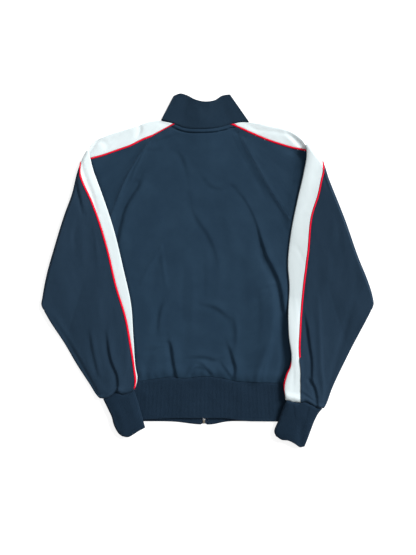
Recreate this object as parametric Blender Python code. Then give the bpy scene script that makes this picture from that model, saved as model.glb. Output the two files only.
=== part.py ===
"""Track jacket lying flat, face down, with both sleeves turned over onto its back.

Lengths are in millimetres and angles in degrees; MM turns a length into metres.
+Y points to the collar, +X to the wearer's right, and the fronts lie on z = 0.
Each piece is a closed wall of cloth of its own, GAP clear of the pieces sewn to it.
"""
import math

import bpy
import numpy as np
from mathutils import Matrix

MM = 0.001

# Walls, gaps and levels
CLOTH = 1.2                       # wall of the knitted cloth
RIB = 2.2                         # wall of the doubled rib bands
GAP = 0.3                         # between pieces at a seam
CUFF_GAP = 0.5                    # where the thick rib cuff meets the sleeve
TUBE = 2.5                        # between the middles of a flat cloth tube's two layers
RIB_TUBE = 2.6                    # the same in a rib band
FRONT_Z = CLOTH / 2
MID_Z = FRONT_Z + TUBE / 2
EDGE = (TUBE + CLOTH) / 2         # how far a folded edge reaches past the tube's flat part
REST_LIFT = 5.4                   # rise of a sleeve or cuff where it lies on the body
LIFT_RUN = 30.0                   # distance over which that rise falls to the surface
LIFT_MARGIN = 10.0                # full rise still held this far outside the body
TURN_INSET = 4.0                  # the turn's radius follows the lift this far inside the fold line
FOLD_SPRING = 3.4                 # extra rise along the line where a sleeve turns over
SPRING_REACH = 42.0

# Trim
PIPING = 3.0                      # width of the piping
PIPING_PROUD = 0.9                # how far it stands out of the cloth
RIB_PITCH = 5.0
RIB_DEPTH = 0.7
BACK_LOFT = 1.6                   # air under the back
COLLAR_LOFT = 1.2
CUFF_LOFT = 0.8
ARMPIT_ROOM = 3.5                 # the sleeve's underarm starts this far up the raglan seam
SLEEVE_LOFT = 2.6                 # air inside a turned sleeve
COVER_EASE = (2.0, 26.0)          # the back's relief starts and is full this far from a sleeve over it
LEAST_RELIEF = 0.1
FOLD_END = 0.06                   # share of its length over which a fold keeps its end height
FOLD_FADE = 0.7
LOFT_SHAPE = 0.8                  # how full a sleeve's round is toward its edges
SQUARE_ZONE = 0.2                 # share of a sleeve's length over which its edges turn square to its sides
TUCK_ZONE = 0.3                   # share over which the back piping moves round the top edge
STRIPE_MARGIN = 0.8               # least room beside the top edge for the stripe's own cells
SEAM_CELL = 6.0                   # first cells of a panel beside its seam

# Zip
ZIP_X = -7.7
ZIP_EDGE = 8.0                    # from the middle of the zip to the edge of the fronts
TAPE = 1.0
COIL_HALF = 2.2
COIL_HIGH = 2.0
ZIP_TOP = 302.0
SLIDER_Y = (285.0, 296.0)
SLIDER_LIFT = 4.0                 # rise of the fronts over the slider and its pull tab
PLATE = 1.0                       # slider plate
SLOT = 1.6                        # between the slider's plates
HINGE_Y = 290.4
HINGE_Z = 2.0
TAB_END = 262.0
TAB_HALF = 3.0
TAB_THICK = 1.0
TAB_HOLE = (285.2, 290.0)
BAIL_HALF = 0.7
BAIL_Y = (286.4, 294.4)
BAIL_LEG = 1.2
BAIL_LOW = 0.4
ZIP_BOTTOM = -329.0               # lowest tooth
TAPE_BOTTOM = -336.5
BOX_HALF = 2.2                    # the zip's box end
BOX_BOTTOM = -337.0
BOX_HIGH = 2.4
ZIP_RISE = (185.0, 288.0)         # the zip rises between these to its slider
ZIP_RISE_HALF = 7.0               # the cloth beside it is level with it this far out
ZIP_RISE_FALL = 30.0

# Colours, linear
NAVY = (0.022, 0.050, 0.082)
NAVY_RIB = (0.014, 0.028, 0.048)
WHITE = (0.82, 0.86, 0.86)
RED = (0.66, 0.012, 0.045)
METAL = (0.55, 0.50, 0.42)

# Outlines, as x and y of the points that shape them. Each runs neck to hem or neck to cuff.
NECK_BACK = ((-102, 331), (-80, 324), (-54, 313), (-16, 309), (16, 311), (54, 321), (72, 326), (91, 327))
COLLAR_TOP = ((-74, 383), (-60, 388), (-45, 384), (-28, 375), (-8, 370), (16, 373), (32, 383), (49, 386))
NECK_FRONT = ((-102, 331), (-94, 302), (-71, 269), (-40, 249), (ZIP_X, 243),
              (25, 249), (59, 269), (83, 300), (91, 327))
COLLAR_FRONT_TOP = ((-74, 383), (-64, 350), (-46, 324), (-27, 309), (ZIP_X, 304),
                    (9, 308), (28, 322), (42, 350), (49, 386))
HEM_SEAM = ((-206, -246), (-155, -244), (-111, -238), (-78, -234), (-52, -237), (-10, -233),
            (28, -236), (61, -243), (109, -246), (166, -248), (191, -248))
HEM_BACK = ((-203, -330), (-138, -328), (-82, -325), (-38, -325), (10, -325), (38, -325), (82, -331),
            (127, -332), (188, -333))
HEM_FRONT = ((-203, -331), (-138, -332), (-72, -333), (-16, -339), (8, -339), (41, -333),
             (98, -332), (155, -333), (188, -334))

LEFT = dict(
    side=-1,
    neck=(-105, 328), neck_back=(-74, 321), neck_front=(-95, 303), tip_back=(-122, 295), tip_front=(-120, 288),
    armhole=((-157, 243), (-186, 192), (-207, 140), (-231, 80), (-258, 18)),
    shoulder=((-105, 328), (-127, 326), (-148, 317), (-170, 309), (-193, 300), (-230, 287), (-247, 278),
              (-263, 260)),
    fold=((-263, 260), (-276, 240), (-283, 221), (-298, 166), (-314, 122), (-336, 51), (-353, -10),
          (-362, -57), (-366, -78)),
    top=((-263, 260), (-256, 243), (-243, 207), (-230, 170), (-204, 84), (-184, 1), (-168, -72),
         (-161, -153), (-155, -215), (-153, -238), (-157, -259)),
    under=((-366, -78), (-346, -112), (-314, -162), (-287, -208), (-258, -252), (-239, -283)),
    cuff_seam=((-157, -259), (-182, -268), (-210, -275), (-239, -283)),
    piping_front=((-278, 236), (-275, 205), (-267, 180), (-256, 159), (-245, 128), (-221, 49),
                  (-201, -35), (-179, -109), (-169, -165), (-162, -224), (-160, -245), (-163, -262)),
    piping_back=((-122, 295), (-148, 284), (-170, 273), (-193, 265), (-237, 250), (-256, 245), (-285, 236)),
    back_tuck=((0.0, 30), (1.0, 52)),
    side_seam=((-258, 18), (-233, -109), (-206, -246)), hem_side=(-203, -331),
    cuff_end=((-136, -345), (-155, -354), (-168, -364), (-182, -367), (-190, -364)),
    cuff_inner=((-157, -259), (-151, -285), (-146, -312), (-136, -345)),
    cuff_outer=((-239, -283), (-228, -294), (-219, -307), (-206, -340), (-199, -354), (-190, -364)),
)
RIGHT = dict(
    side=1,
    neck=(93, 324), neck_back=(54, 321), neck_front=(85, 303), tip_back=(62, 316), tip_front=(98, 294),
    armhole=((85, 267), (116, 214), (151, 152), (185, 102), (217, 60), (247, 18)),
    armhole_front=((112, 256), (136, 206), (164, 150), (190, 104), (217, 60), (247, 18)),
    shoulder=((93, 325), (111, 322), (133, 315), (160, 311), (182, 304), (199, 295), (212, 287), (221, 278)),
    fold=((221, 278), (232, 267), (243, 252), (250, 243), (267, 199), (302, 111), (333, 23), (352, -21),
          (366, -65), (366, -78)),
    top=((221, 278), (222, 262), (212, 216), (197, 155), (182, 78), (176, 12), (179, -32), (176, -105),
         (180, -150), (186, -204), (173, -230), (168, -250), (170, -284)),
    under=((366, -78), (336, -131), (302, -197), (272, -263), (258, -303)),
    cuff_seam=((170, -284), (190, -288), (213, -293), (236, -299), (258, -304)),
    piping_front=((246, 244), (256, 222), (253, 205), (250, 190), (245, 166), (230, 122), (221, 45),
                  (212, -43), (205, -131), (202, -191), (204, -252), (204, -291)),
    piping_back=((62, 317), (94, 302), (138, 284), (182, 270), (221, 262), (250, 250)),
    back_tuck=((0.0, 18), (0.43, 12), (0.57, 4.5), (0.72, 1.6), (0.86, 0.2), (1.0, -1.4)),
    side_seam=((247, 18), (220, -109), (191, -248)), hem_side=(188, -334),
    cuff_end=((150, -365), (160, -371), (182, -376), (197, -382), (208, -389), (215, -387)),
    cuff_inner=((170, -284), (166, -303), (157, -332), (148, -358), (150, -365)),
    cuff_outer=((258, -303), (246, -315), (241, -325), (228, -358), (221, -375), (215, -387)),
)

# Largest folds: start, middle and end, half width, height (a trough is negative)
BACK_FOLDS = (
    ((-142, 198), (-168, 132), (-190, 68), 15, -1.5),
    ((-118, 196), (-144, 128), (-166, 60), 17, 1.6),
    ((76, 150), (120, 55), (168, -80), 15, -1.6),
    ((104, 140), (142, 58), (170, -30), 17, 1.3),
    ((60, 120), (98, 30), (150, -90), 18, 1.5),
    ((70, 290), (110, 225), (170, 120), 14, -1.2),
    ((-38, 112), (-6, 70), (16, 15), 20, -1.2),
    ((-85, -154), (-74, -184), (-70, -228), 11, -1.8),
    ((48, -176), (58, -200), (60, -228), 11, -1.6),
    ((150, -120), (138, -180), (122, -235), 14, 1.8),
    ((-160, -222), (0, -214), (170, -224), 16, 1.7),
)
SLEEVE_FOLDS = (
    ((-286, 190), (-282, 150), (-272, 120), 12, -1.6),
    ((-292, 120), (-294, 80), (-288, 40), 16, -1.3),
    ((-218, -160), (-208, -200), (-196, -250), 11, -1.8),
    ((-258, -165), (-250, -190), (-240, -220), 13, -1.2),
    ((216, -120), (226, -170), (228, -238), 11, -1.8),
    ((318, -66), (308, -130), (284, -198), 18, -1.4),
    ((248, -170), (252, -220), (250, -262), 12, 1.6),
)

# Cells along and across each grid
CELLS_NECK = 2
CELLS_LOWER = 6
CELLS_TURN = 4
CELLS_UPPER = 14
CELLS_STRIPE = 3
CELLS_EDGE = 4
CELLS_SLEEVE = 7
CELLS_CURL = 2
CELLS_SIDE = 9
CELLS_SIDE_FRONT = 5
CELLS_BACK = 22
CELLS_FRONT = 10
CELLS_BAND_CORNER = 4
CELLS_CUFF_UNDER = 12
CELLS_ROUND = 2
CURL_END = math.radians(55)


# ---------------------------------------------------------------- curves in plan

def length_of(vectors):
    return np.linalg.norm(vectors, axis=-1, keepdims=True)


def spline(points):
    """Smooth curve through the points, as a function of its fraction of length."""
    knots = np.array(points, float)
    steps = length_of(np.diff(knots, axis=0))[:, 0]
    places = np.concatenate(([0.0], np.cumsum(steps))) / steps.sum()
    slopes = np.gradient(knots, places, axis=0)

    def at(fraction):
        t = np.clip(np.asarray(fraction, float), 0, 1)
        i = np.clip(np.searchsorted(places, t, side="right") - 1, 0, len(knots) - 2)
        width = (places[i + 1] - places[i])[..., None]
        u = (t - places[i])[..., None] / width
        rise = u * u * (3 - 2 * u)
        return ((1 - rise) * knots[i] + rise * knots[i + 1]
                + u * (1 - u) ** 2 * width * slopes[i] - u * u * (1 - u) * width * slopes[i + 1])
    return at


def chain(first, second, corner):
    """Two curves end to end, meeting at the fraction called corner."""
    def at(fraction):
        t = np.asarray(fraction, float)
        early = first(t / corner)
        late = second((t - corner) / (1 - corner))
        return np.where((t < corner)[..., None], early, late)
    return at


def fitted(curve, start, end):
    """The curve, eased so that it runs from start to end."""
    shift_start, shift_end = start - curve(0.0), end - curve(1.0)

    def at(fraction):
        t = np.asarray(fraction, float)[..., None]
        return curve(fraction) + (1 - t) * shift_start + t * shift_end
    return at


def normals(curve, fraction):
    """Unit vectors to the left of the curve's direction."""
    t = np.clip(np.asarray(fraction, float), 0, 1)
    run = curve(np.minimum(t + 0.02, 1)) - curve(np.maximum(t - 0.02, 0))
    turned = np.stack([-run[..., 1], run[..., 0]], -1)
    return turned / length_of(turned)


def offset(curve, distance):
    """The curve moved to the left of its direction."""
    return lambda fraction: curve(fraction) + distance * normals(curve, fraction)


def patch(start, end, low, high, across, along):
    """Grid between four edges: start and end run across, low and high run along."""
    a, b = across[None, :, None], along[:, None, None]
    top, bottom = start(across), end(across)
    left, right = low(along), high(along)
    corners = ((1 - a) * (1 - b) * top[0] + a * (1 - b) * top[-1]
               + (1 - a) * b * bottom[0] + a * b * bottom[-1])
    return (1 - b) * top[None] + b * bottom[None] + (1 - a) * left[:, None] + a * right[:, None] - corners


def rise(value, low, high):
    """0 below low, 1 above high and smooth between."""
    t = np.clip((value - low) / (high - low), 0, 1)
    return t * t * (3 - 2 * t)


def distance_to(places, line):
    """Distance from each place to a broken line, and the fraction along it of the nearest point."""
    best = np.full(places.shape[:-1], np.inf)
    where = np.zeros(places.shape[:-1])
    for i, (a, b) in enumerate(zip(line[:-1], line[1:])):
        run = b - a
        t = np.clip(((places - a) @ run) / (run @ run), 0, 1)
        d = np.linalg.norm(places - a - t[..., None] * run, axis=-1)
        closer = d < best
        best = np.where(closer, d, best)
        where = np.where(closer, (i + t) / (len(line) - 1), where)
    return best, where


def depth_inside(places, outline):
    """Distance to a closed outline, negative outside it."""
    loop = np.vstack([outline, outline[:1]])
    distance, _ = distance_to(places, loop)
    inside = np.zeros(distance.shape, bool)
    for a, b in zip(loop[:-1], loop[1:]):
        spans = (a[1] > places[..., 1]) != (b[1] > places[..., 1])
        height = b[1] - a[1] if b[1] != a[1] else 1.0
        cross = a[0] + (places[..., 1] - a[1]) * (b[0] - a[0]) / height
        inside ^= spans & (places[..., 0] < cross)
    return np.where(inside, distance, -distance)


# ---------------------------------------------------------------- heights

def fold_relief(places, folds):
    total = np.zeros(places.shape[:-1])
    for start, middle, end, half, height in folds:
        line = spline((start, middle, end))(np.linspace(0, 1, 9))
        distance, where = distance_to(places, line)
        fade = np.sin(math.pi * np.clip(where, FOLD_END, 1 - FOLD_END)) ** FOLD_FADE
        total += height * np.exp(-(distance / half) ** 2) * fade
    return total


def front_rise(places):
    """How far the fronts are lifted by the slider and pull tab under them."""
    side = np.maximum(np.abs(places[..., 0] - ZIP_X) - ZIP_RISE_HALF, 0)
    return SLIDER_LIFT * np.exp(-(side / ZIP_RISE_FALL) ** 2) * rise(places[..., 1], *ZIP_RISE)


def back_rise(places):
    """Relief of the back: air, folds and the lift over the slider, level under the sleeves."""
    shown = rise(-sleeve_cover(places), *COVER_EASE)
    relief = np.maximum(BACK_LOFT + fold_relief(places, BACK_FOLDS), LEAST_RELIEF)
    return front_rise(places) + relief * shown


def sleeve_cover(places):
    """Depth under the nearest turned sleeve, negative in the open part of the back."""
    return np.maximum(depth_inside(places, COVERS[0]), depth_inside(places, COVERS[1]))


# ---------------------------------------------------------------- solids

def material(name, colour, roughness, metallic=0.0):
    made = bpy.data.materials.new(name)
    made.use_nodes = True
    shader = made.node_tree.nodes["Principled BSDF"]
    shader.inputs["Base Color"].default_value = (*colour, 1)
    shader.inputs["Roughness"].default_value = roughness
    shader.inputs["Metallic"].default_value = metallic
    return made


def add_object(name, vertices, faces, finish):
    mesh = bpy.data.meshes.new(name)
    mesh.from_pydata([tuple(v) for v in np.asarray(vertices) * MM], [], faces)
    mesh.validate()
    mesh.materials.append(finish)
    mesh.shade_smooth()
    mesh.set_sharp_from_angle(angle=math.radians(50))
    made = bpy.data.objects.new(name, mesh)
    bpy.context.scene.collection.objects.link(made)
    return made


def halves(a, b, c, d):
    """A quad cut along a to c, so that layers that lie on each other bend alike."""
    return [(a, b, c), (a, c, d)]


def wall(name, outer, inner, finish, closed=False):
    """Closed solid between an outer and an inner grid of the same columns (rows may differ)."""
    columns = outer.shape[1]
    rows_out, rows_in = len(outer), len(inner)
    base = rows_out * columns

    def out(r, c):
        return r * columns + c % columns

    def inn(r, c):
        return base + r * columns + c % columns

    faces = []
    for c in range(columns if closed else columns - 1):
        for r in range(rows_out - 1):
            faces += halves(out(r, c), out(r, c + 1), out(r + 1, c + 1), out(r + 1, c))
        for r in range(rows_in - 1):
            faces += halves(inn(r, c), inn(r + 1, c), inn(r + 1, c + 1), inn(r, c + 1))
        faces += halves(out(0, c + 1), out(0, c), inn(0, c), inn(0, c + 1))
        faces += halves(out(rows_out - 1, c), out(rows_out - 1, c + 1),
                        inn(rows_in - 1, c + 1), inn(rows_in - 1, c))
    if not closed:
        for c, order in ((0, 1), (columns - 1, -1)):
            if rows_out == rows_in:
                for r in range(rows_out - 1):
                    faces += halves(*(out(r, c), out(r + 1, c), inn(r + 1, c), inn(r, c))[::order])
            else:
                ring = [out(r, c) for r in range(rows_out)] + [inn(r, c) for r in reversed(range(rows_in))]
                faces.append(tuple(ring[::order]))
    vertices = np.vstack([outer.reshape(-1, 3), inner.reshape(-1, 3)])
    return add_object(name, vertices, orient(vertices, faces), finish)


def orient(vertices, faces):
    """Faces turned so that the solid's volume is positive."""
    volume = 0.0
    for face in faces:
        a = vertices[face[0]]
        for i in range(1, len(face) - 1):
            volume += np.dot(a, np.cross(vertices[face[i]], vertices[face[i + 1]]))
    return faces if volume > 0 else [face[::-1] for face in faces]


def lifted(places, height):
    return np.concatenate([places, np.broadcast_to(height, places.shape[:-1])[..., None]], -1)


# ---------------------------------------------------------------- sleeves

HALF = TUBE / 2
ROUND = HALF * math.pi / 2        # from the top fold to where a layer lies flat


class Sleeve:
    """A flat cloth tube that leaves the armhole and turns over along its fold line.

    A station is a line across the sleeve. Along it a point is given by its reach in
    millimetres round the top edge: positive on the front layer, negative on the back.
    """

    def __init__(self, spec):
        self.spec, self.side = spec, spec["side"]
        inward = -self.side
        shoulder = offset(spline(spec["shoulder"]), EDGE * inward)
        fold = offset(spline(spec["fold"]), EDGE * inward)
        top = offset(spline(spec["top"]), -EDGE * inward)
        under = offset(spline(spec["under"]), EDGE * inward)
        self.fold = fitted(fold, (fold(0.0) + shoulder(1.0)) / 2, (fold(1.0) + under(0.0)) / 2)
        self.fold_line = self.fold(np.linspace(0, 1, 33))
        turn_start, turn_end = self.turn(0.0), self.turn(1.0)
        self.armhole, self.neck_line, self.lower = {}, {}, {}
        for layer in (-1, 1):
            armhole = self.make_armhole(layer)
            self.armhole[layer] = armhole
            self.neck_line[layer] = self.make_neck_line(layer)
            self.lower[layer] = (armhole, self.turn, fitted(shoulder, armhole(0.0), turn_start),
                                 spline((armhole(1.0), turn_end)))
        self.cuff = fitted(spline(spec["cuff_seam"]), top(1.0), under(1.0))
        end = offset(self.cuff, -CUFF_GAP / 2 * inward)
        self.upper = (self.turn, end, fitted(top, turn_start, end(0.0)), fitted(under, turn_end, end(1.0)))
        self.stations = self.make_stations()
        self.set_piping()

    def make_armhole(self, layer):
        """Raglan seam, run on from its tip to the top of the neck; it stops just short of the armpit."""
        spec = self.spec
        tip = spec["tip_back" if layer < 0 else "tip_front"]
        body = spec.get("armhole_front", spec["armhole"]) if layer > 0 else spec["armhole"]
        points = np.array((tip, *body), float)
        neck = np.array(spec["neck"], float)
        part = np.linalg.norm(points[0] - neck)
        whole = part + length_of(np.diff(points, axis=0)).sum()
        full = chain(spline((neck, points[0])), spline(points), part / whole)
        return lambda a: full(np.asarray(a, float) * (1 - ARMPIT_ROOM / whole))

    def make_neck_line(self, layer):
        """Where the stripe meets the collar, from its folded edge to the piping."""
        curve = offset(spline(NECK_BACK if layer < 0 else NECK_FRONT), -GAP)
        x = self.spec["neck_back" if layer < 0 else "neck_front"][0]
        end = curve(fraction_at(curve, x))
        return stretch(curve, np.array(self.spec["neck"], float), end)

    def turn_radius(self, a):
        edge = self.fold(a) - self.outward(a) * TURN_INSET
        return self.lift(edge) / 2

    def outward(self, a):
        return normals(self.fold, a) * self.side

    def turn(self, a):
        """Where the flat part ends beside the fold line."""
        return self.fold(a) - self.outward(a) * self.turn_radius(a)[..., None]

    def lift(self, places):
        """Rise of the turned part's middle above its level on the bare surface."""
        distance, _ = distance_to(places, self.fold_line)
        held = rise(depth_inside(places, SUPPORT), -LIFT_MARGIN - LIFT_RUN, -LIFT_MARGIN)
        return held * (REST_LIFT + FOLD_SPRING * np.exp(-(distance / SPRING_REACH) ** 2))

    def make_stations(self):
        stations = [("neck", w) for w in np.linspace(1, 0, CELLS_NECK + 1)[:-1]]
        stations += [("lower", b) for b in np.linspace(0, 1, CELLS_LOWER + 1)]
        stations += [("turn", angle) for angle in np.linspace(-90, 90, CELLS_TURN + 1)[1:-1]]
        stations += [("upper", b) for b in np.linspace(0, 1, CELLS_UPPER + 1)]
        return stations

    def plan(self, station, side, a):
        kind, value = station
        a = np.asarray(a, float)
        if kind == "turn":
            return self.fold(a)
        if kind == "neck":
            on_neck = self.neck_line[side](a / self.stripe_share[side])
            return (1 - value) * self.armhole[side](a) + value * on_neck
        start, end, low, high = self.lower[side] if kind == "lower" else self.upper
        across = np.concatenate([[0.0], a, [1.0]])
        return patch(start, end, low, high, across, np.array([0.0, value, 1.0]))[1, 1:-1]

    def width(self, station, side):
        flat = ("lower", 0.0) if station[0] == "neck" else station
        run = np.diff(self.plan(flat, side, np.linspace(0, 1, 33)), axis=0)
        return float(length_of(run).sum())

    def edges(self, station):
        """Outward directions at the top edge and the underarm edge."""
        kind, value = station
        flat = ("lower", 0.0) if kind == "neck" else station
        ends = self.plan(flat, -1, np.array([0.0, 0.03, 0.97, 1.0]))
        top, under = ends[0] - ends[1], ends[3] - ends[2]
        top, under = top / np.linalg.norm(top), under / np.linalg.norm(under)
        if kind in ("lower", "upper"):
            region = self.lower[-1] if kind == "lower" else self.upper
            square = float(rise(min(value, 1 - value), 0.0, SQUARE_ZONE))
            turn = self.side if kind == "lower" else -self.side
            top = (1 - square) * top + square * turn * normals(region[2], value)
            under = (1 - square) * under - square * turn * normals(region[3], value)
        return top / np.linalg.norm(top), under / np.linalg.norm(under)

    def across(self, station, reach, depth):
        """3-D points at the given reaches, depth out of the middle of the cloth."""
        kind, value = station
        reach, depth = np.broadcast_arrays(np.asarray(reach, float), np.asarray(depth, float))
        side = np.where(reach < 0, -1, 1)
        width = np.where(side < 0, self.width(station, -1), self.width(station, 1))
        flat = np.clip(np.abs(reach) - ROUND, 0, width)
        round_top = np.clip(np.abs(reach) / HALF, 0, math.pi / 2)
        round_under = np.clip((np.abs(reach) - ROUND - width) / HALF, 0, CURL_END)
        a = flat / width
        places = np.where((side < 0)[:, None], self.plan(station, -1, a), self.plan(station, 1, a))
        top_out, under_out = self.edges(station)
        arm = HALF + depth
        places = places + (arm * np.cos(round_top))[:, None] * top_out * (flat == 0)[:, None]
        places = places + (arm * np.sin(round_under))[:, None] * under_out
        off = -side * arm * np.sin(round_top) * np.cos(round_under)
        if kind == "turn":
            angle = math.radians(value)
            radius = self.turn_radius(a)
            reach_out = (radius - off) * math.cos(angle) - radius
            places = places + self.outward(a) * reach_out[:, None]
            return lifted(places, MID_Z + radius + (radius - off) * math.sin(angle))
        if kind == "upper":
            air = SLEEVE_LOFT * np.sin(math.pi * a) ** LOFT_SHAPE
            relief = np.maximum(air + fold_relief(places, SLEEVE_FOLDS) * np.clip(air, 0, 1), 0)
            return lifted(places, MID_Z + self.lift(places) - off + relief * np.clip(-off / HALF, 0, 1))
        return lifted(places, MID_Z + off + back_rise(places) * np.clip(off / HALF, 0, 1))

    def crossing(self, station, side, line):
        """Reach at which a line in plan crosses a station."""
        a = np.linspace(0, 0.5, 401)
        distance, _ = distance_to(self.plan(station, side, a), line)
        return side * (ROUND + a[int(np.argmin(distance))] * self.width(station, side))

    def set_piping(self):
        """Reach of the front and back piping, and the stretch of each station at its slant."""
        front = spline(self.spec["piping_front"])(np.linspace(0, 1, 61))
        back = spline(self.spec["piping_back"])(np.linspace(0, 1, 61))
        tuck = np.array(self.spec["back_tuck"], float)
        turn_front = self.crossing(("upper", 0.0), 1, front)
        turn_back = self.crossing(("lower", 1.0), -1, back)
        neck_back = self.crossing(("lower", 0.0), -1, back)
        neck_front = self.tip_reach()
        flat = ("lower", 0.0)
        self.stripe_share = {-1: (-neck_back - ROUND) / self.width(flat, -1),
                             1: (neck_front - ROUND) / self.width(flat, 1)}
        self.front_reach, self.back_reach = [], []
        for kind, value in self.stations:
            if kind == "neck":
                pair = neck_front, neck_back
            elif kind == "lower":
                pair = (neck_front + rise(value, 0, 1) * (turn_front - neck_front),
                        self.crossing((kind, value), -1, back))
            elif kind == "turn":
                pair = turn_front, turn_back
            else:
                hidden = -np.interp(value, tuck[:, 0], tuck[:, 1])
                start = 1 - rise(value, 0, TUCK_ZONE)
                pair = self.crossing((kind, value), 1, front), hidden + start * (turn_back + tuck[0, 1])
            self.front_reach.append(float(pair[0]))
            self.back_reach.append(float(pair[1]))
        self.front_slant = self.slant(self.front_reach)
        self.back_slant = self.slant(self.back_reach)

    def tip_reach(self):
        neck, tip = (np.array(self.spec[key], float) for key in ("neck", "tip_front"))
        return ROUND + np.linalg.norm(tip - neck)

    def slant(self, reaches):
        """How much wider a band across the stations is than square to its own run."""
        middle = np.array([self.across(s, [r - 1, r, r + 1], 0.0) for s, r in zip(self.stations, reaches)])
        run = np.gradient(middle[:, 1], axis=0)
        over = middle[:, 2] - middle[:, 0]
        sine = length_of(np.cross(run, over))[:, 0] / (length_of(run) * length_of(over))[:, 0]
        smooth = np.convolve(np.pad(sine, 1, mode="edge"), (0.25, 0.5, 0.25), mode="valid")
        return 1 / np.clip(np.minimum(sine, smooth), 0.45, 1)

    def cloth(self, name, reach_rows, first, finish):
        rows = list(zip(self.stations[first:], reach_rows[first:]))
        outer = np.array([self.across(s, r, CLOTH / 2) for s, r in rows])
        inner = np.array([self.across(s, r, -CLOTH / 2) for s, r in rows])
        return wall(name, outer, inner, finish)

    def make_stripe(self, name, finish):
        rows = []
        for i in range(len(self.stations)):
            room_front = (PIPING / 2 + GAP) * self.front_slant[i]
            room_back = (PIPING / 2 + GAP) * self.back_slant[i]
            start, end = self.back_reach[i] + room_back, self.front_reach[i] - room_front
            low = max(-ROUND, start + STRIPE_MARGIN)
            high = max(ROUND, low + 2 * STRIPE_MARGIN)
            rows.append(np.concatenate([np.linspace(start, low, CELLS_STRIPE + 1)[:-1],
                                        np.linspace(low, high, CELLS_EDGE + 1)[:-1],
                                        np.linspace(high, end, CELLS_STRIPE + 1)]))
        return self.cloth(name, rows, 0, finish)

    def panel_start(self, i, side):
        """Reach at which the navy cloth begins beside the piping at station i."""
        reach, slant = ((self.front_reach[i], self.front_slant[i]) if side > 0
                        else (self.back_reach[i], self.back_slant[i]))
        return reach + side * (PIPING / 2 + GAP) * slant

    def panel_row(self, i, side):
        start = side * self.panel_start(i, side)
        flat_end = ROUND + self.width(self.stations[i], side)
        near = max(ROUND, start + SEAM_CELL)
        curl = np.linspace(0, CURL_END * HALF, CELLS_CURL + 1)[1:]
        return side * np.concatenate([np.linspace(start, near, CELLS_ROUND + 1)[:-1],
                                      np.linspace(near, flat_end, CELLS_SLEEVE - CELLS_ROUND + 1),
                                      flat_end + curl])

    def make_panel(self, name, side, finish):
        rows = [self.panel_row(i, side) for i in range(len(self.stations))]
        return self.cloth(name, rows, CELLS_NECK, finish)

    def body_seam(self, side):
        """Plan points beside which a body panel runs: along the stripe, then down the armhole."""
        yoke = [self.across(self.stations[i], [self.panel_start(i, side)], 0.0)[0, :2]
                for i in range(CELLS_NECK)]
        row = self.across(self.stations[CELLS_NECK], self.panel_row(CELLS_NECK, side), 0.0)[:, :2]
        run = np.gradient(row, axis=0)
        inward = np.stack([-run[:, 1], run[:, 0]], -1) * -self.side
        return np.vstack([yoke, row + GAP * inward / length_of(inward)])

    def make_piping(self, name, side, finish):
        """Cord in the seam, proud where the seam shows and flush where it lies underneath."""
        rings = []
        reaches, slants = ((self.front_reach, self.front_slant) if side > 0
                           else (self.back_reach, self.back_slant))
        shown = [self.shown(station, side) for station in self.stations]
        for station, reach, slant, proud in zip(self.stations, reaches, slants, shown):
            half = PIPING / 2 * slant
            crown = CLOTH / 2 + PIPING_PROUD * proud
            over = reach + half * np.array([-1, -1, -0.5, 0.5, 1, 1])
            depth = np.array([-CLOTH / 2, CLOTH / 4, crown, crown, CLOTH / 4, -CLOTH / 2])
            rings.append(self.across(station, over, depth))
        return tube(name, np.array(rings), finish)

    def shown(self, station, side):
        kind, value = station
        if side > 0:
            return {"neck": 0.0, "lower": 0.0, "turn": (value + 90) / 180}.get(kind, 1.0)
        if kind != "upper":
            return {"turn": (90 - value) / 180}.get(kind, 1.0)
        reach = self.back_reach[self.stations.index(station)]
        return float(np.clip((reach + ROUND) / ROUND, 0, 1))


def tube(name, rings, finish):
    """Solid cord through rings of points, with flat ends."""
    count, around = rings.shape[:2]
    vertices = rings.reshape(-1, 3)
    faces = [tuple(range(around)), tuple(reversed(range((count - 1) * around, count * around)))]
    for r in range(count - 1):
        for c in range(around):
            n = (c + 1) % around
            faces += halves(r * around + c, (r + 1) * around + c, (r + 1) * around + n, r * around + n)
    return add_object(name, vertices, orient(vertices, faces), finish)


# ---------------------------------------------------------------- body panels

def fraction_at(curve, x):
    """Fraction along a curve, whose x always grows, at which it reaches x."""
    t = np.linspace(0, 1, 401)
    return float(np.interp(x, curve(t)[:, 0], t))


def stretch(curve, start, end):
    """The part of a curve between two places, from the nearest x of each, eased to meet them."""
    low, high = fraction_at(curve, start[0]), fraction_at(curve, end[0])
    return fitted(lambda t: curve(low + np.asarray(t, float) * (high - low)), start, end)


class BodyEdge:
    """Edge of a body panel from neck to hem along one side: its seams, then its rounded side."""

    def __init__(self, sleeve, front):
        seam = sleeve.body_seam(1 if front else -1)
        side = spline((seam[-1], *sleeve.spec["side_seam"][1:]))
        rows = CELLS_SIDE_FRONT if front else CELLS_SIDE
        self.points = np.vstack([seam, side(np.linspace(0, 1, rows + 1)[1:])])
        run = np.gradient(self.points, axis=0)
        out = np.stack([-run[:, 1], run[:, 0]], -1) * sleeve.side
        self.out = out / length_of(out)
        self.curl = (np.arange(len(self.points)) >= len(seam)).astype(float)
        self.base = self.points - self.out * EDGE
        neck = offset(spline(NECK_FRONT if front else NECK_BACK), -GAP / 2)
        self.points[0] = neck(fraction_at(neck, self.points[0, 0]))
        self.base[0] = neck(fraction_at(neck, self.base[0, 0]))
        self.out[0] = (self.points[0] - self.base[0]) / EDGE

    def columns(self, layer, depth, level):
        """Points from the flat part out to the edge, one column for each step of the curl."""
        made = []
        for step in np.arange(1, CELLS_CURL + 1) / CELLS_CURL:
            angle = CURL_END * step
            arm = HALF + depth
            reach = (1 - self.curl) * EDGE * step + self.curl * arm * math.sin(angle)
            places = self.base + self.out * reach[:, None]
            flat = level(places, depth)
            round_z = MID_Z + layer * arm * math.cos(angle)
            made.append(lifted(places, (1 - self.curl) * flat + self.curl * round_z))
        return made


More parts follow.
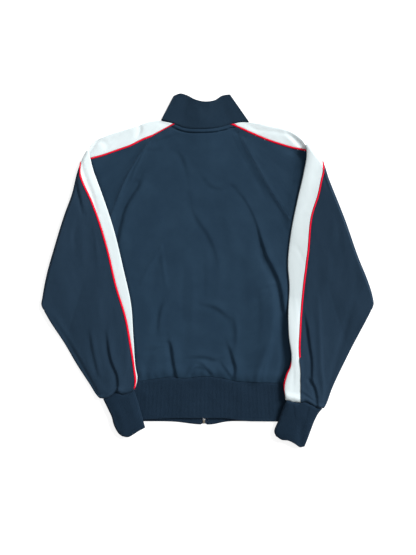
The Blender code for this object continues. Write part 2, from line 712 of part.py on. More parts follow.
def run_of(left, right):
    """Fraction along a panel for each of its rows."""
    steps = [length_of(np.diff(edge, axis=0))[:, 0] for edge in (left, right)]
    total = np.concatenate([[0.0], np.cumsum(sum(step / step.sum() for step in steps))])
    return total / total[-1]


def back_level(places, depth):
    return MID_Z + HALF + depth + back_rise(places)


def front_level(places, depth):
    return MID_Z - HALF - depth + front_rise(places)


def make_back(left, right, finish):
    edges = BodyEdge(left, False), BodyEdge(right, False)
    low, high = edges[0].base, edges[1].base
    neck = stretch(offset(spline(NECK_BACK), -GAP / 2), low[0], high[0])
    hem = stretch(offset(spline(HEM_SEAM), GAP / 2), low[-1], high[-1])
    across = np.linspace(0, 1, CELLS_BACK + 1)
    flat = patch(neck, hem, lambda t: low, lambda t: high, across, run_of(low, high))
    sides = []
    for depth in (CLOTH / 2, -CLOTH / 2):
        grid = [lifted(flat[:, i], back_level(flat[:, i], depth)) for i in range(flat.shape[1])]
        left_columns = edges[0].columns(1, depth, back_level)[::-1]
        sides.append(np.stack(left_columns + grid + edges[1].columns(1, depth, back_level), 1))
    return wall("back_panel", sides[0], sides[1], finish)


def make_front(name, sleeve, finish):
    edge = BodyEdge(sleeve, True)
    zip_edge = ZIP_X + sleeve.side * ZIP_EDGE
    neck, hem = offset(spline(NECK_FRONT), -GAP / 2), offset(spline(HEM_SEAM), GAP / 2)
    top = np.array([zip_edge, neck(fraction_at(neck, zip_edge))[1]])
    bottom = np.array([zip_edge, hem(fraction_at(hem, zip_edge))[1]])
    along = run_of(edge.base, np.linspace(top, bottom, len(edge.base)))
    middle = top + along[:, None] * (bottom - top)
    flat = patch(stretch(neck, edge.base[0], top), stretch(hem, edge.base[-1], bottom),
                 lambda t: edge.base, lambda t: middle, np.linspace(0, 1, CELLS_FRONT + 1), along)
    sides = []
    for depth in (CLOTH / 2, -CLOTH / 2):
        grid = [lifted(flat[:, i], front_level(flat[:, i], depth)) for i in range(flat.shape[1])]
        sides.append(np.stack(edge.columns(-1, depth, front_level)[::-1] + grid, 1))
    return wall(name, sides[0], sides[1], finish)


# ---------------------------------------------------------------- rib bands

RIB_HALF = RIB_TUBE / 2
RIB_EDGE = (RIB_TUBE + RIB) / 2
BAND_ROWS = ((0.0, 0.75), (0.5, 1.0), (0.94, 1.0), (1.0, 0.5))   # fraction down the band, share of its wall
BAND_ROWS_INSIDE = (0.0, 0.5, 1.0)
LEVEL_ROWS = ((0.0, 0.75), (0.94, 1.0), (1.0, 0.5))
LEVEL_ROWS_INSIDE = (0.0, 1.0)


def ribbed(count):
    """Depth of the outer points across a ribbed stretch: crown, groove, crown."""
    return RIB / 2 - RIB_DEPTH * (np.arange(count) % 2)


def rib_columns(length):
    return 2 * int(round(length / RIB_PITCH)) + 1


def band_wall(name, seam, edge, angle, out, crown, height, finish, closed=False, level=False):
    """A doubled rib band; each column has its seam and edge places and its angle round the tube."""
    def layer(v, depth):
        places = seam + v * (edge - seam) + out * ((RIB_HALF + depth) * np.cos(angle))[:, None]
        raised = height(places, angle) if height else 0.0
        return lifted(places, RIB_EDGE + (RIB_HALF + depth) * np.sin(angle) + raised)
    rows, rows_inside = (LEVEL_ROWS, LEVEL_ROWS_INSIDE) if level else (BAND_ROWS, BAND_ROWS_INSIDE)
    outer = np.array([layer(v, crown * share) for v, share in rows])
    inner = np.array([layer(v, -RIB / 2) for v in rows_inside])
    return wall(name, outer, inner, finish, closed)


def make_open_band(name, seams, edges, joins, height, finish):
    """Collar or hem: from the zip round one side, across the back and round to the zip.

    joins holds the x of the fronts' outer corners, where the seam's cells change.
    """
    front_seam, back_seam = seams
    front_edge, back_edge = edges
    width = length_of(np.diff(back_seam(np.linspace(0, 1, 60)), axis=0)).sum()
    tuck = RIB_EDGE / width
    back = np.linspace(tuck, 1 - tuck, rib_columns(width))
    turn = np.radians(np.linspace(-90, 90, CELLS_TURN + 1)[1:-1])
    seam, edge, angle, out, crown = [], [], [], [], []

    def add(seam_points, edge_points, angles, outs, crowns):
        seam.append(seam_points)
        edge.append(edge_points)
        angle.append(np.broadcast_to(angles, len(seam_points)))
        out.append(np.broadcast_to(outs, seam_points.shape))
        crown.append(np.broadcast_to(crowns, len(seam_points)))

    for side in (-1, 1):
        at = tuck if side < 0 else 1 - tuck
        zip_edge = ZIP_X + side * ZIP_EDGE
        start, corner = (fraction_at(front_seam, x) for x in (zip_edge, joins[side]))
        cells = np.concatenate([np.linspace(start, corner, CELLS_FRONT + 1),
                                np.linspace(corner, at, CELLS_BAND_CORNER + 1)[1:]])
        edge_start = fraction_at(front_edge, zip_edge)
        from_zip = cells, edge_start + (cells - start) / (at - start) * (at - edge_start)
        parts = [(front_seam(from_zip[0]), front_edge(from_zip[1]), -math.pi / 2)]
        share = ((turn + math.pi / 2) / math.pi)[:, None]
        ends = [(1 - share) * f(at) + share * b(at)
                for f, b in ((front_seam, back_seam), (front_edge, back_edge))]
        parts.append((ends[0], ends[1], turn))
        run = back_edge(at) - back_seam(at)
        outward = np.array([side * abs(run[1]), -side * run[0] * np.sign(run[1])])
        outward /= np.linalg.norm(outward)
        if side < 0:
            for seam_points, edge_points, angles in parts:
                add(seam_points, edge_points, angles, outward, RIB / 2)
            add(back_seam(back), back_edge(back), math.pi / 2, outward, ribbed(len(back)))
        else:
            for seam_points, edge_points, angles in parts[::-1]:
                add(seam_points[::-1], edge_points[::-1], np.broadcast_to(angles, len(seam_points))[::-1],
                    outward, RIB / 2)
    return band_wall(name, np.vstack(seam), np.vstack(edge), np.concatenate(angle), np.vstack(out),
                     np.concatenate(crown), height, finish, level=height is None)


def make_cuff(name, sleeve, finish):
    spec, inward = sleeve.spec, -sleeve.side
    seam = offset(sleeve.cuff, CUFF_GAP / 2 * inward)
    inner = offset(spline(spec["cuff_inner"]), -RIB_EDGE * inward)
    outer = offset(spline(spec["cuff_outer"]), RIB_EDGE * inward)
    end = fitted(spline(spec["cuff_end"]), inner(1.0), outer(1.0))
    width = np.linalg.norm(seam(1.0) - seam(0.0))
    top = np.linspace(0, 1, rib_columns(width))
    under = np.linspace(1, 0, CELLS_CUFF_UNDER + 1)
    turn = np.radians(np.linspace(90, -90, CELLS_TURN + 1)[1:-1])
    across = np.concatenate([top, np.ones(len(turn)), under, np.zeros(len(turn))])
    angle = np.concatenate([np.full(len(top), math.pi / 2), turn, np.full(len(under), -math.pi / 2), turn[::-1]])
    crown = np.concatenate([ribbed(len(top)), np.full(len(across) - len(top), RIB / 2)])
    out = np.where(across[:, None] > 0.5, normals(outer, 0.5) * -inward, normals(inner, 0.5) * inward)

    def height(places, angles):
        return sleeve.lift(places) + CUFF_LOFT * (np.sin(angles) > 0.99)
    return band_wall(name, seam(across), end(across), angle, out, crown, height, finish, closed=True)


def collar_height(places, angle):
    return front_rise(places) + COLLAR_LOFT * (np.sin(angle) > 0.99)


# ---------------------------------------------------------------- zip

def zip_rows(start, end):
    """Places along the zip, closer together where it rises over the slider."""
    below = ZIP_RISE[0] - 15
    return np.concatenate([np.linspace(start, below, 4)[:-1], np.linspace(below, end, 12)])


def make_tape(name, side, finish):
    ys = zip_rows(TAPE_BOTTOM, ZIP_TOP)
    xs = ZIP_X + side * np.array([COIL_HALF + GAP, ZIP_EDGE - GAP])
    places = np.stack(np.meshgrid(xs, ys), -1)
    level = FRONT_Z + front_rise(np.stack([np.full_like(ys, ZIP_X), ys], -1))[:, None]
    return wall(name, lifted(places, level - TAPE / 2), lifted(places, level + TAPE / 2), finish)


def make_coil(finish):
    ys = zip_rows(ZIP_BOTTOM, SLIDER_Y[0] - GAP)
    section = ((-1.0, 0.35), (-0.7, 0.0), (0.7, 0.0), (1.0, 0.35), (1.0, 0.7), (0.6, 1.0), (-0.6, 1.0), (-1.0, 0.7))
    rings = []
    for y in ys:
        base = float(front_rise(np.array([ZIP_X, y])))
        rings.append([(ZIP_X + COIL_HALF * x, y, base + COIL_HIGH * z) for x, z in section])
    return tube("zip_coil", np.array(rings), finish)


def prism(name, outline, low, high, finish, bevel=0.0):
    """Upright solid on an outline given anticlockwise."""
    count = len(outline)
    vertices = [(x, y, low) for x, y in outline] + [(x, y, high) for x, y in outline]
    faces = [tuple(reversed(range(count))), tuple(range(count, 2 * count))]
    faces += [(i, (i + 1) % count, count + (i + 1) % count, count + i) for i in range(count)]
    made = add_object(name, vertices, faces, finish)
    if bevel:
        soften = made.modifiers.new("edges", 'BEVEL')
        soften.width = bevel * MM
        soften.segments = 2
        soften.limit_method = 'ANGLE'
    return made


def box(x_half, y_low, y_high):
    return ((ZIP_X - x_half, y_low), (ZIP_X + x_half, y_low), (ZIP_X + x_half, y_high), (ZIP_X - x_half, y_high))


def combine(base, tool, operation):
    """Boolean of a hidden tool on a base."""
    change = base.modifiers.new(tool.name, 'BOOLEAN')
    change.operation = operation
    change.object = tool
    change.solver = 'EXACT'
    tool.hide_render = True
    tool.display_type = 'WIRE'


def make_slider(finish):
    low, high = SLIDER_Y
    tape_z = FRONT_Z + SLIDER_LIFT
    face_top, back_low = tape_z - SLOT / 2, tape_z + SLOT / 2
    shield = ((ZIP_X - 3.4, low), (ZIP_X + 3.4, low), (ZIP_X + 4.6, low + 5), (ZIP_X + 4.4, high - 1.5),
              (ZIP_X + 2.6, high), (ZIP_X - 2.6, high), (ZIP_X - 4.4, high - 1.5), (ZIP_X - 4.6, low + 5))
    face = prism("slider", shield, face_top - PLATE, face_top, finish)
    parts = [prism("slider_back_plate", shield, back_low, back_low + PLATE, finish),
             prism("slider_post", box(1.2, high - 4, high - 1), face_top - 0.5, back_low + 0.5, finish)]
    for leg_low in (BAIL_Y[0], BAIL_Y[1] - BAIL_LEG):
        parts.append(prism("bail_leg", box(BAIL_HALF, leg_low, leg_low + BAIL_LEG), BAIL_LOW,
                           face_top - PLATE / 2, finish))
    parts.append(prism("bail_bar", box(BAIL_HALF, *BAIL_Y), BAIL_LOW, BAIL_LOW + 0.8, finish))
    for part in parts:
        combine(face, part, 'UNION')


def make_pull_tab(finish):
    hinge = HINGE_Y + 0.4
    outline = ((ZIP_X - 2.1, TAB_END), (ZIP_X + 2.1, TAB_END), (ZIP_X + TAB_HALF, TAB_END + 3),
               (ZIP_X + 2.3, hinge), (ZIP_X - 2.3, hinge), (ZIP_X - TAB_HALF, TAB_END + 3))
    tab = prism("pull_tab", outline, HINGE_Z - TAB_THICK / 2, HINGE_Z + TAB_THICK / 2, finish)
    hole = prism("tab_hole", box(1.2, TAB_HOLE[0], TAB_HOLE[1]), 0, 4, finish)
    combine(tab, hole, 'DIFFERENCE')
    grip = prism("tab_grip", box(1.2, TAB_END + 3, TAB_END + 8), 0, 4, finish)
    combine(tab, grip, 'DIFFERENCE')
    axis = np.array((ZIP_X, HINGE_Y, HINGE_Z)) * MM
    for piece in (tab, hole, grip):
        piece.data.transform(Matrix.Translation(-axis))
        piece.location = axis


# ---------------------------------------------------------------- the jacket

def support_outline():
    """Outline of what lies on the surface: body, hem and the sleeves as far as their fold lines."""
    def half(spec):
        points = [spec["neck"], *spec["shoulder"][2:-1:2], *spec["fold"], *spec["side_seam"], spec["hem_side"]]
        return [tuple(map(float, p)) for p in points]
    return np.array(half(LEFT) + half(RIGHT)[::-1])


def cover_outline(spec):
    """Outline of a turned sleeve seen from above."""
    return np.array(spec["top"][1:] + spec["under"][:0:-1] + spec["fold"][::-1], float)


SUPPORT = support_outline()
COVERS = (cover_outline(LEFT), cover_outline(RIGHT))


def clear_scene():
    for old in list(bpy.data.objects):
        bpy.data.objects.remove(old, do_unlink=True)


def main():
    clear_scene()
    navy = material("navy_knit", NAVY, 0.78)
    rib = material("navy_rib", NAVY_RIB, 0.85)
    white = material("white_knit", WHITE, 0.72)
    red = material("red_piping", RED, 0.65)
    tape = material("zip_tape", NAVY_RIB, 0.8)
    coil = material("zip_coil", NAVY_RIB, 0.45)
    metal = material("zip_metal", METAL, 0.35, 0.9)
    left, right = Sleeve(LEFT), Sleeve(RIGHT)
    for sleeve, name in ((left, "left"), (right, "right")):
        sleeve.make_stripe("stripe_" + name, white)
        sleeve.make_panel("sleeve_front_" + name, 1, navy)
        sleeve.make_panel("sleeve_back_" + name, -1, navy)
        sleeve.make_piping("piping_front_" + name, 1, red)
        sleeve.make_piping("piping_back_" + name, -1, red)
        make_front("front_" + name, sleeve, navy)
        make_cuff("cuff_" + name, sleeve, rib)
        make_tape("zip_tape_" + name, sleeve.side, tape)
    make_back(left, right, navy)
    front_edges = {-1: BodyEdge(left, True).base, 1: BodyEdge(right, True).base}
    make_open_band("collar", (offset(spline(NECK_FRONT), GAP / 2), offset(spline(NECK_BACK), GAP / 2)),
                   (spline(COLLAR_FRONT_TOP), spline(COLLAR_TOP)),
                   {side: base[0, 0] for side, base in front_edges.items()}, collar_height, rib)
    hem_seam = offset(spline(HEM_SEAM), -GAP / 2)
    make_open_band("hem_rib", (hem_seam, hem_seam), (spline(HEM_FRONT), spline(HEM_BACK)),
                   {side: base[-1, 0] for side, base in front_edges.items()}, None, rib)
    make_coil(coil)
    prism("zip_box", box(BOX_HALF, BOX_BOTTOM, ZIP_BOTTOM - GAP), 0.0, BOX_HIGH, metal)
    make_slider(metal)
    make_pull_tab(metal)


main()
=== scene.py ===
"""Looks of the track jacket: every cloth piece as a fine thin shell on its CAD solid's form.

Lengths are in millimetres in the CAD model's own frame; MM turns a length into metres.
+Y points to the collar, +X to the wearer's right. The jacket lies on its fronts at z = 0,
with both sleeves turned over at the shoulder onto the back.
"""
import math

import bpy
import numpy as np
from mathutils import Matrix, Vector, noise


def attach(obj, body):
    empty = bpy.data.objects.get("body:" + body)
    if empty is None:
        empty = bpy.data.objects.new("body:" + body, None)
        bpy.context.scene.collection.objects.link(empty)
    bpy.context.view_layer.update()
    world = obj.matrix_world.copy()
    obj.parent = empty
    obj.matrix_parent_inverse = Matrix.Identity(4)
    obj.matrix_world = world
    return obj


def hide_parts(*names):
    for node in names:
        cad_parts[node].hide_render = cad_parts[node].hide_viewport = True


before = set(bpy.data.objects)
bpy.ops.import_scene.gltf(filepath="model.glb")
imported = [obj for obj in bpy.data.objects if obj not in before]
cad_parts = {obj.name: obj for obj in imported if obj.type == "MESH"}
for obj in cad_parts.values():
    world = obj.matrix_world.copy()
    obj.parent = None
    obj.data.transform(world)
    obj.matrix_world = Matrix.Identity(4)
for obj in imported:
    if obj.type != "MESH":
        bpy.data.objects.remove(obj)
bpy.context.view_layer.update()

MM = 0.001
BODY = "garment"

# Walls, gaps and levels
CLOTH = 1.0                       # wall of the knitted cloth
RIB = 2.0                         # wall of the doubled rib bands
GAP = 0.3                         # between pieces at a seam
TUCK = 2.5                        # a rib band's allowance, under the cloth it is sewn to
TUCK_TURN = 0.4                   # half the height of the step from the allowance up to the rib
TUCK_LOW = 0.7                    # share of half its wall by which the allowance lies lower
SEAT_REACH = 4.0                  # a band reaches its full height this far from its seam
TUBE = 2.5                        # between the middles of a flat cloth tube's two layers
RIB_TUBE = 2.6                    # the same in a rib band
FRONT_Z = 0.6                     # middle of the fronts' cloth
MID_Z = FRONT_Z + TUBE / 2
HALF = TUBE / 2
ROUND = HALF * math.pi / 2        # from the top fold to where a layer lies flat
EDGE = 1.85                       # how far a folded edge reaches past the tube's flat part
REST_LIFT = 5.4                   # rise of a sleeve or cuff where it lies on the body
LIFT_MARGIN = 10.0                # it is at that rise this far outside the layer below,
LIFT_RUN = 95.0                   # and down on the surface this much farther out
TOP_HASTE = 14.0                  # how soon a turned sleeve's long edges run true to their outline
ELBOW_ROLL = 0.1                  # the turned edge's roll is pressed to this share of its width
ELBOW_START = 0.93                # from here along the fold line
ELBOW_HASTE = 8.0                 # how soon the lower edge faces outward below the elbow
SHOULDER_HASTE = 7.0              # and how soon a shoulder line does
SQUARE_RUN = 0.2                  # share of a sleeve's length over which its edges come to face outward
ELBOW_REACH = (6, 75)             # near the elbow the turned edge loses its spring
HOVER_REACH = 26.0                # how far a hovering top edge lifts the sleeve beside it
CUFF_OVERHANG = (3.0, 10, 8, 1.4, 3.5)      # a sleeve hangs a little over its cuff
LIP_HIGH = 1.7                    # the pleat that covers the right sleeve's piping
LIP_OVER = 0.5                    # how far it reaches past the piping,
LIP_REACH = 7.0                   # and how far back it stands up
FOLD_SPRING = 3.4                 # extra rise along the line where a sleeve turns over
SPRING_REACH = 42.0               # how far that rise runs in from the line

# Trim and air
PIPING = 3.9                      # width of the cord
PIPING_ROOM = PIPING / 2 + GAP    # from its middle to the cloth beside it
PIPING_PROUD = 1.2                # how far its round stands above the cloth
PIPING_ROUND = (200, 180, 150, 120, 90, 60, 30, 0, -20)      # degrees round the cord
RIB_PITCH = 3.0                   # from rib to rib
RIB_DEPTH = 0.58
BACK_LOFT = 2.4                   # air under the back
BACK_LOW = -0.2                   # a trough never presses the back lower than this,
SLEEVE_LOW = -0.3                 # nor a sleeve lower than this
PROP_UNDER = 9.0                  # how far the propped back reaches in under a turned sleeve
PROP_BESIDE = 17.0                # and out beside it
COLLAR_LOFT = 1.2                 # air in the collar
CUFF_LOFT = 0.6                   # and in a cuff
CUFF_ROUND = 3.4                  # how full a cuff stands across its middle
CUFF_BOW = 0.9                    # and along it
HEM_FOLLOW = 16.0                 # how far down the hem the back's creases still show
HEM_LOFT = 2.0                    # air in the hem
HEM_SHOWN = (0, 24)               # it fills out over these distances beside a sleeve that lies on it
ARMPIT_ROOM = 3.5                 # the raglan seam stops this short of the armpit
SLEEVE_LOFT = 3.0                 # air inside a turned sleeve
SEAM_ROLL = 0.35                  # how far a panel's edge bends down into its seam
SEAM_REACH = 1.5                  # and how far in from the seam it begins to

# Zip
ZIP_X = -7.7
ZIP_EDGE = 8.0                    # from the middle of the zip to the edge of the fronts
TAPE = 1.0                        # its tapes' thickness
COIL_HALF = 2.2                   # half the width of the closed teeth,
COIL_HIGH = 2.0                   # and their height
ZIP_TOP = 302.0
SLIDER_END = 285.0                # where the teeth run out under the slider
SLIDER_LIFT = 4.0                 # rise of the fronts over the slider and its pull tab
SLIDER_HALF = 7.0                 # half the width of that rise's top
SLIDER_REACH = 30.0               # how far that rise runs out to each side,
SLIDER_RUN = (185, 288)           # and from where up it comes
ZIP_BOTTOM = -329.0               # lowest tooth
TAPE_BOTTOM = -336.5
TAPE_SLANT = 3.0                  # its ends slant up to the middle of the zip
TAPE_ROOM = 0.02                  # between a tape and what it meets
TAPE_ACROSS = (COIL_HALF + TAPE_ROOM, COIL_HALF + 0.6, 3.4, 4.0, 5.6, 6.8, ZIP_EDGE - TAPE_ROOM)
TAPE_SWELL = (0.0, 0.25, 0.2, 0.0, 0.0, 0.0, 0.0)            # a cord runs along its inner edge

# Outlines, as x and y of the points that shape them. Those of the neck, collar and hem run from
# left to right, those of a side or sleeve from the neck to the hem or cuff, and those across a
# cuff from the sleeve's top edge to its underarm edge. A sleeve also has tables along its top
# edge: hover, its rise, prop, how far the back stands up against it, and back_tuck, how far under
# it the back piping lies. Pleat says where along the sleeve the cloth laps over the front piping.
NECK_BACK = ((-102, 331), (-80, 324), (-54, 313), (-16, 309), (16, 311), (54, 321), (72, 326),
             (91, 327))
COLLAR_TOP = ((-74, 383), (-60, 388), (-45, 384), (-28, 375), (-8, 370), (16, 373), (32, 383),
              (49, 386))
NECK_FRONT = ((-102, 331), (-94, 302), (-71, 269), (-40, 249), (ZIP_X, 243),
              (25, 249), (59, 269), (83, 300), (91, 327))
COLLAR_FRONT_TOP = ((-74, 383), (-64, 350), (-46, 324), (-27, 309), (ZIP_X, 304),
                    (9, 308), (28, 322), (42, 350), (49, 386))
HEM_SEAM = ((-206, -246), (-155, -244), (-111, -238), (-78, -234), (-52, -237), (-10, -233),
            (28, -236), (61, -243), (109, -246), (166, -248), (191, -248))
HEM_BACK = ((-203, -330), (-138, -328), (-82, -325), (-38, -325), (10, -325), (38, -325),
            (82, -331), (127, -332), (188, -333))
HEM_FRONT = ((-203, -331), (-138, -332), (-72, -333), (-16, -339), (8, -339), (41, -333),
             (98, -332), (155, -333), (188, -334))

LEFT = dict(
    side=-1, pleat=(2.0, 3.0), hover=((0.0, 0.0), (1.0, 0.0)), prop=((0.0, 0.0), (1.0, 0.0)),
    neck=(-105, 328), neck_back=(-74, 321), neck_front=(-95, 303),
    tip_back=(-122, 295), tip_front=(-120, 288),
    armhole=((-157, 243), (-186, 192), (-207, 140), (-231, 80), (-258, 18)),
    shoulder=((-105, 328), (-127, 326), (-148, 319), (-170, 312), (-193, 305), (-215, 298),
              (-237, 290), (-248, 285), (-259, 275), (-266, 262)),
    fold=((-266, 262), (-276, 242), (-284, 221), (-298, 166), (-314, 122), (-336, 51), (-353, -10),
          (-363, -62), (-365, -76), (-361, -86)),
    top=((-266, 262), (-260, 245), (-252, 220), (-243, 197), (-230, 163), (-204, 84), (-184, 1),
         (-168, -72), (-162, -153), (-157, -215), (-153, -238), (-157, -259)),
    under=((-361, -86), (-346, -112), (-314, -162), (-287, -208), (-258, -252), (-244, -274),
           (-237, -282)),
    cuff_seam=((-157, -260), (-166, -267), (-176, -271), (-188, -272), (-199, -268), (-212, -274),
               (-226, -281), (-239, -280)),
    piping_front=((-278, 237), (-281, 222), (-278, 205), (-269, 182), (-258, 159), (-245, 126),
                  (-221, 49), (-201, -35), (-179, -109), (-169, -165), (-160, -224), (-158, -245),
                  (-160, -262)),
    piping_back=((-122, 295), (-148, 284), (-170, 273), (-193, 265), (-237, 250), (-256, 245),
                 (-285, 236)),
    back_tuck=((0.0, 30), (1.0, 52)),
    side_seam=((-258, 18), (-233, -109), (-206, -246)), hem_side=(-203, -331),
    cuff_end=((-136, -345), (-150, -352), (-163, -360), (-175, -366), (-187, -365)),
    cuff_inner=((-160, -263), (-152, -286), (-145, -312), (-136, -345)),
    cuff_outer=((-229, -285), (-225, -293), (-217, -309), (-210, -324), (-207, -336),
                (-201, -350), (-194, -360), (-186, -366)),
)
RIGHT = dict(
    side=1, pleat=(0.79, 0.83),
    hover=((0.0, 9.5), (0.05, 8.5), (0.14, 7.6), (0.25, 4.8), (0.33, 2.8), (0.4, 0.8), (0.6, 0.6),
           (0.66, 5.0), (0.72, 7.6), (0.9, 7.6), (1.0, 6.0)),
    prop=((0.03, 0.0), (0.08, 5.6), (0.14, 6.2), (0.25, 4.0), (0.33, 2.2), (0.4, 0.0)),
    neck=(93, 324), neck_back=(54, 321), neck_front=(85, 303), tip_back=(62, 316), tip_front=(98, 294),
    armhole=((85, 267), (116, 214), (151, 152), (185, 102), (217, 60), (247, 18)),
    armhole_front=((112, 256), (136, 206), (164, 150), (190, 104), (217, 60), (247, 18)),
    shoulder=((93, 325), (114, 322), (137, 316), (160, 312), (182, 305), (203, 294), (214, 287),
              (223, 278)),
    fold=((223, 278), (233, 266), (243, 252), (250, 243), (267, 199), (302, 111), (333, 23),
          (351, -21), (363, -60), (365, -75), (361, -86)),
    top=((223, 278), (222, 262), (212, 216), (197, 155), (182, 78), (176, 12), (179, -32),
         (176, -105), (178, -150), (183, -190), (181, -209), (172, -229), (167, -250), (170, -284)),
    under=((361, -86), (337.5, -131), (304, -197), (273, -263), (260.5, -296), (256, -304)),
    cuff_seam=((170, -288), (186, -291), (202, -293), (214, -291), (229, -297), (246, -305),
               (258, -305)),
    piping_front=((251, 237), (255, 221), (251, 205), (248, 190), (243, 166), (229, 122), (221, 45),
                  (210, -43), (203, -131), (202, -191), (205, -210), (206, -252), (206, -291)),
    piping_back=((62, 317), (94, 302), (138, 284), (182, 270), (221, 262), (250, 250)),
    back_tuck=((0.0, 18), (0.43, 12), (0.57, 6.5), (0.72, 5), (0.81, 4), (0.86, 0.6), (0.92, -0.6),
               (0.955, 0.6), (1.0, 3)),
    side_seam=((247, 18), (220, -109), (191, -248)), hem_side=(188, -334),
    cuff_end=((151, -366), (161, -372), (177, -374), (192, -381), (206, -389), (213, -388)),
    cuff_inner=((171, -290), (164, -305), (154, -332), (146, -358), (150, -366)),
    cuff_outer=((252, -306), (244, -315), (238, -325), (226, -354), (219, -373), (213, -388)),
)

# How far a crease's ridge lies from its middle, against its trough
RIDGE_ASIDE = 1.3
SILL_ASIDE = 1.2
SILL_SLIP = 0.7


def moved(points, across, along):
    """The points of a line, each with its share of the height, all moved alike."""
    return [(x + across, y + along, *share) for x, y, *share in points]


def fold(points, near, west, east, low, high, gap):
    """A crease that runs down the cloth, with its trough to the west and its ridge to the east."""
    return ((moved(points, -gap, 0), near, west, -low),
            (moved(points, RIDGE_ASIDE * gap, 0), east, near, high))


def sill(points, near, north, south, low, high, gap):
    """A crease that runs across the cloth, with its ridge to the north and its trough to the south."""
    return ((moved(points, SILL_SLIP, SILL_ASIDE * gap), north, near, high),
            (moved(points, 0, -gap), near, south, -low))


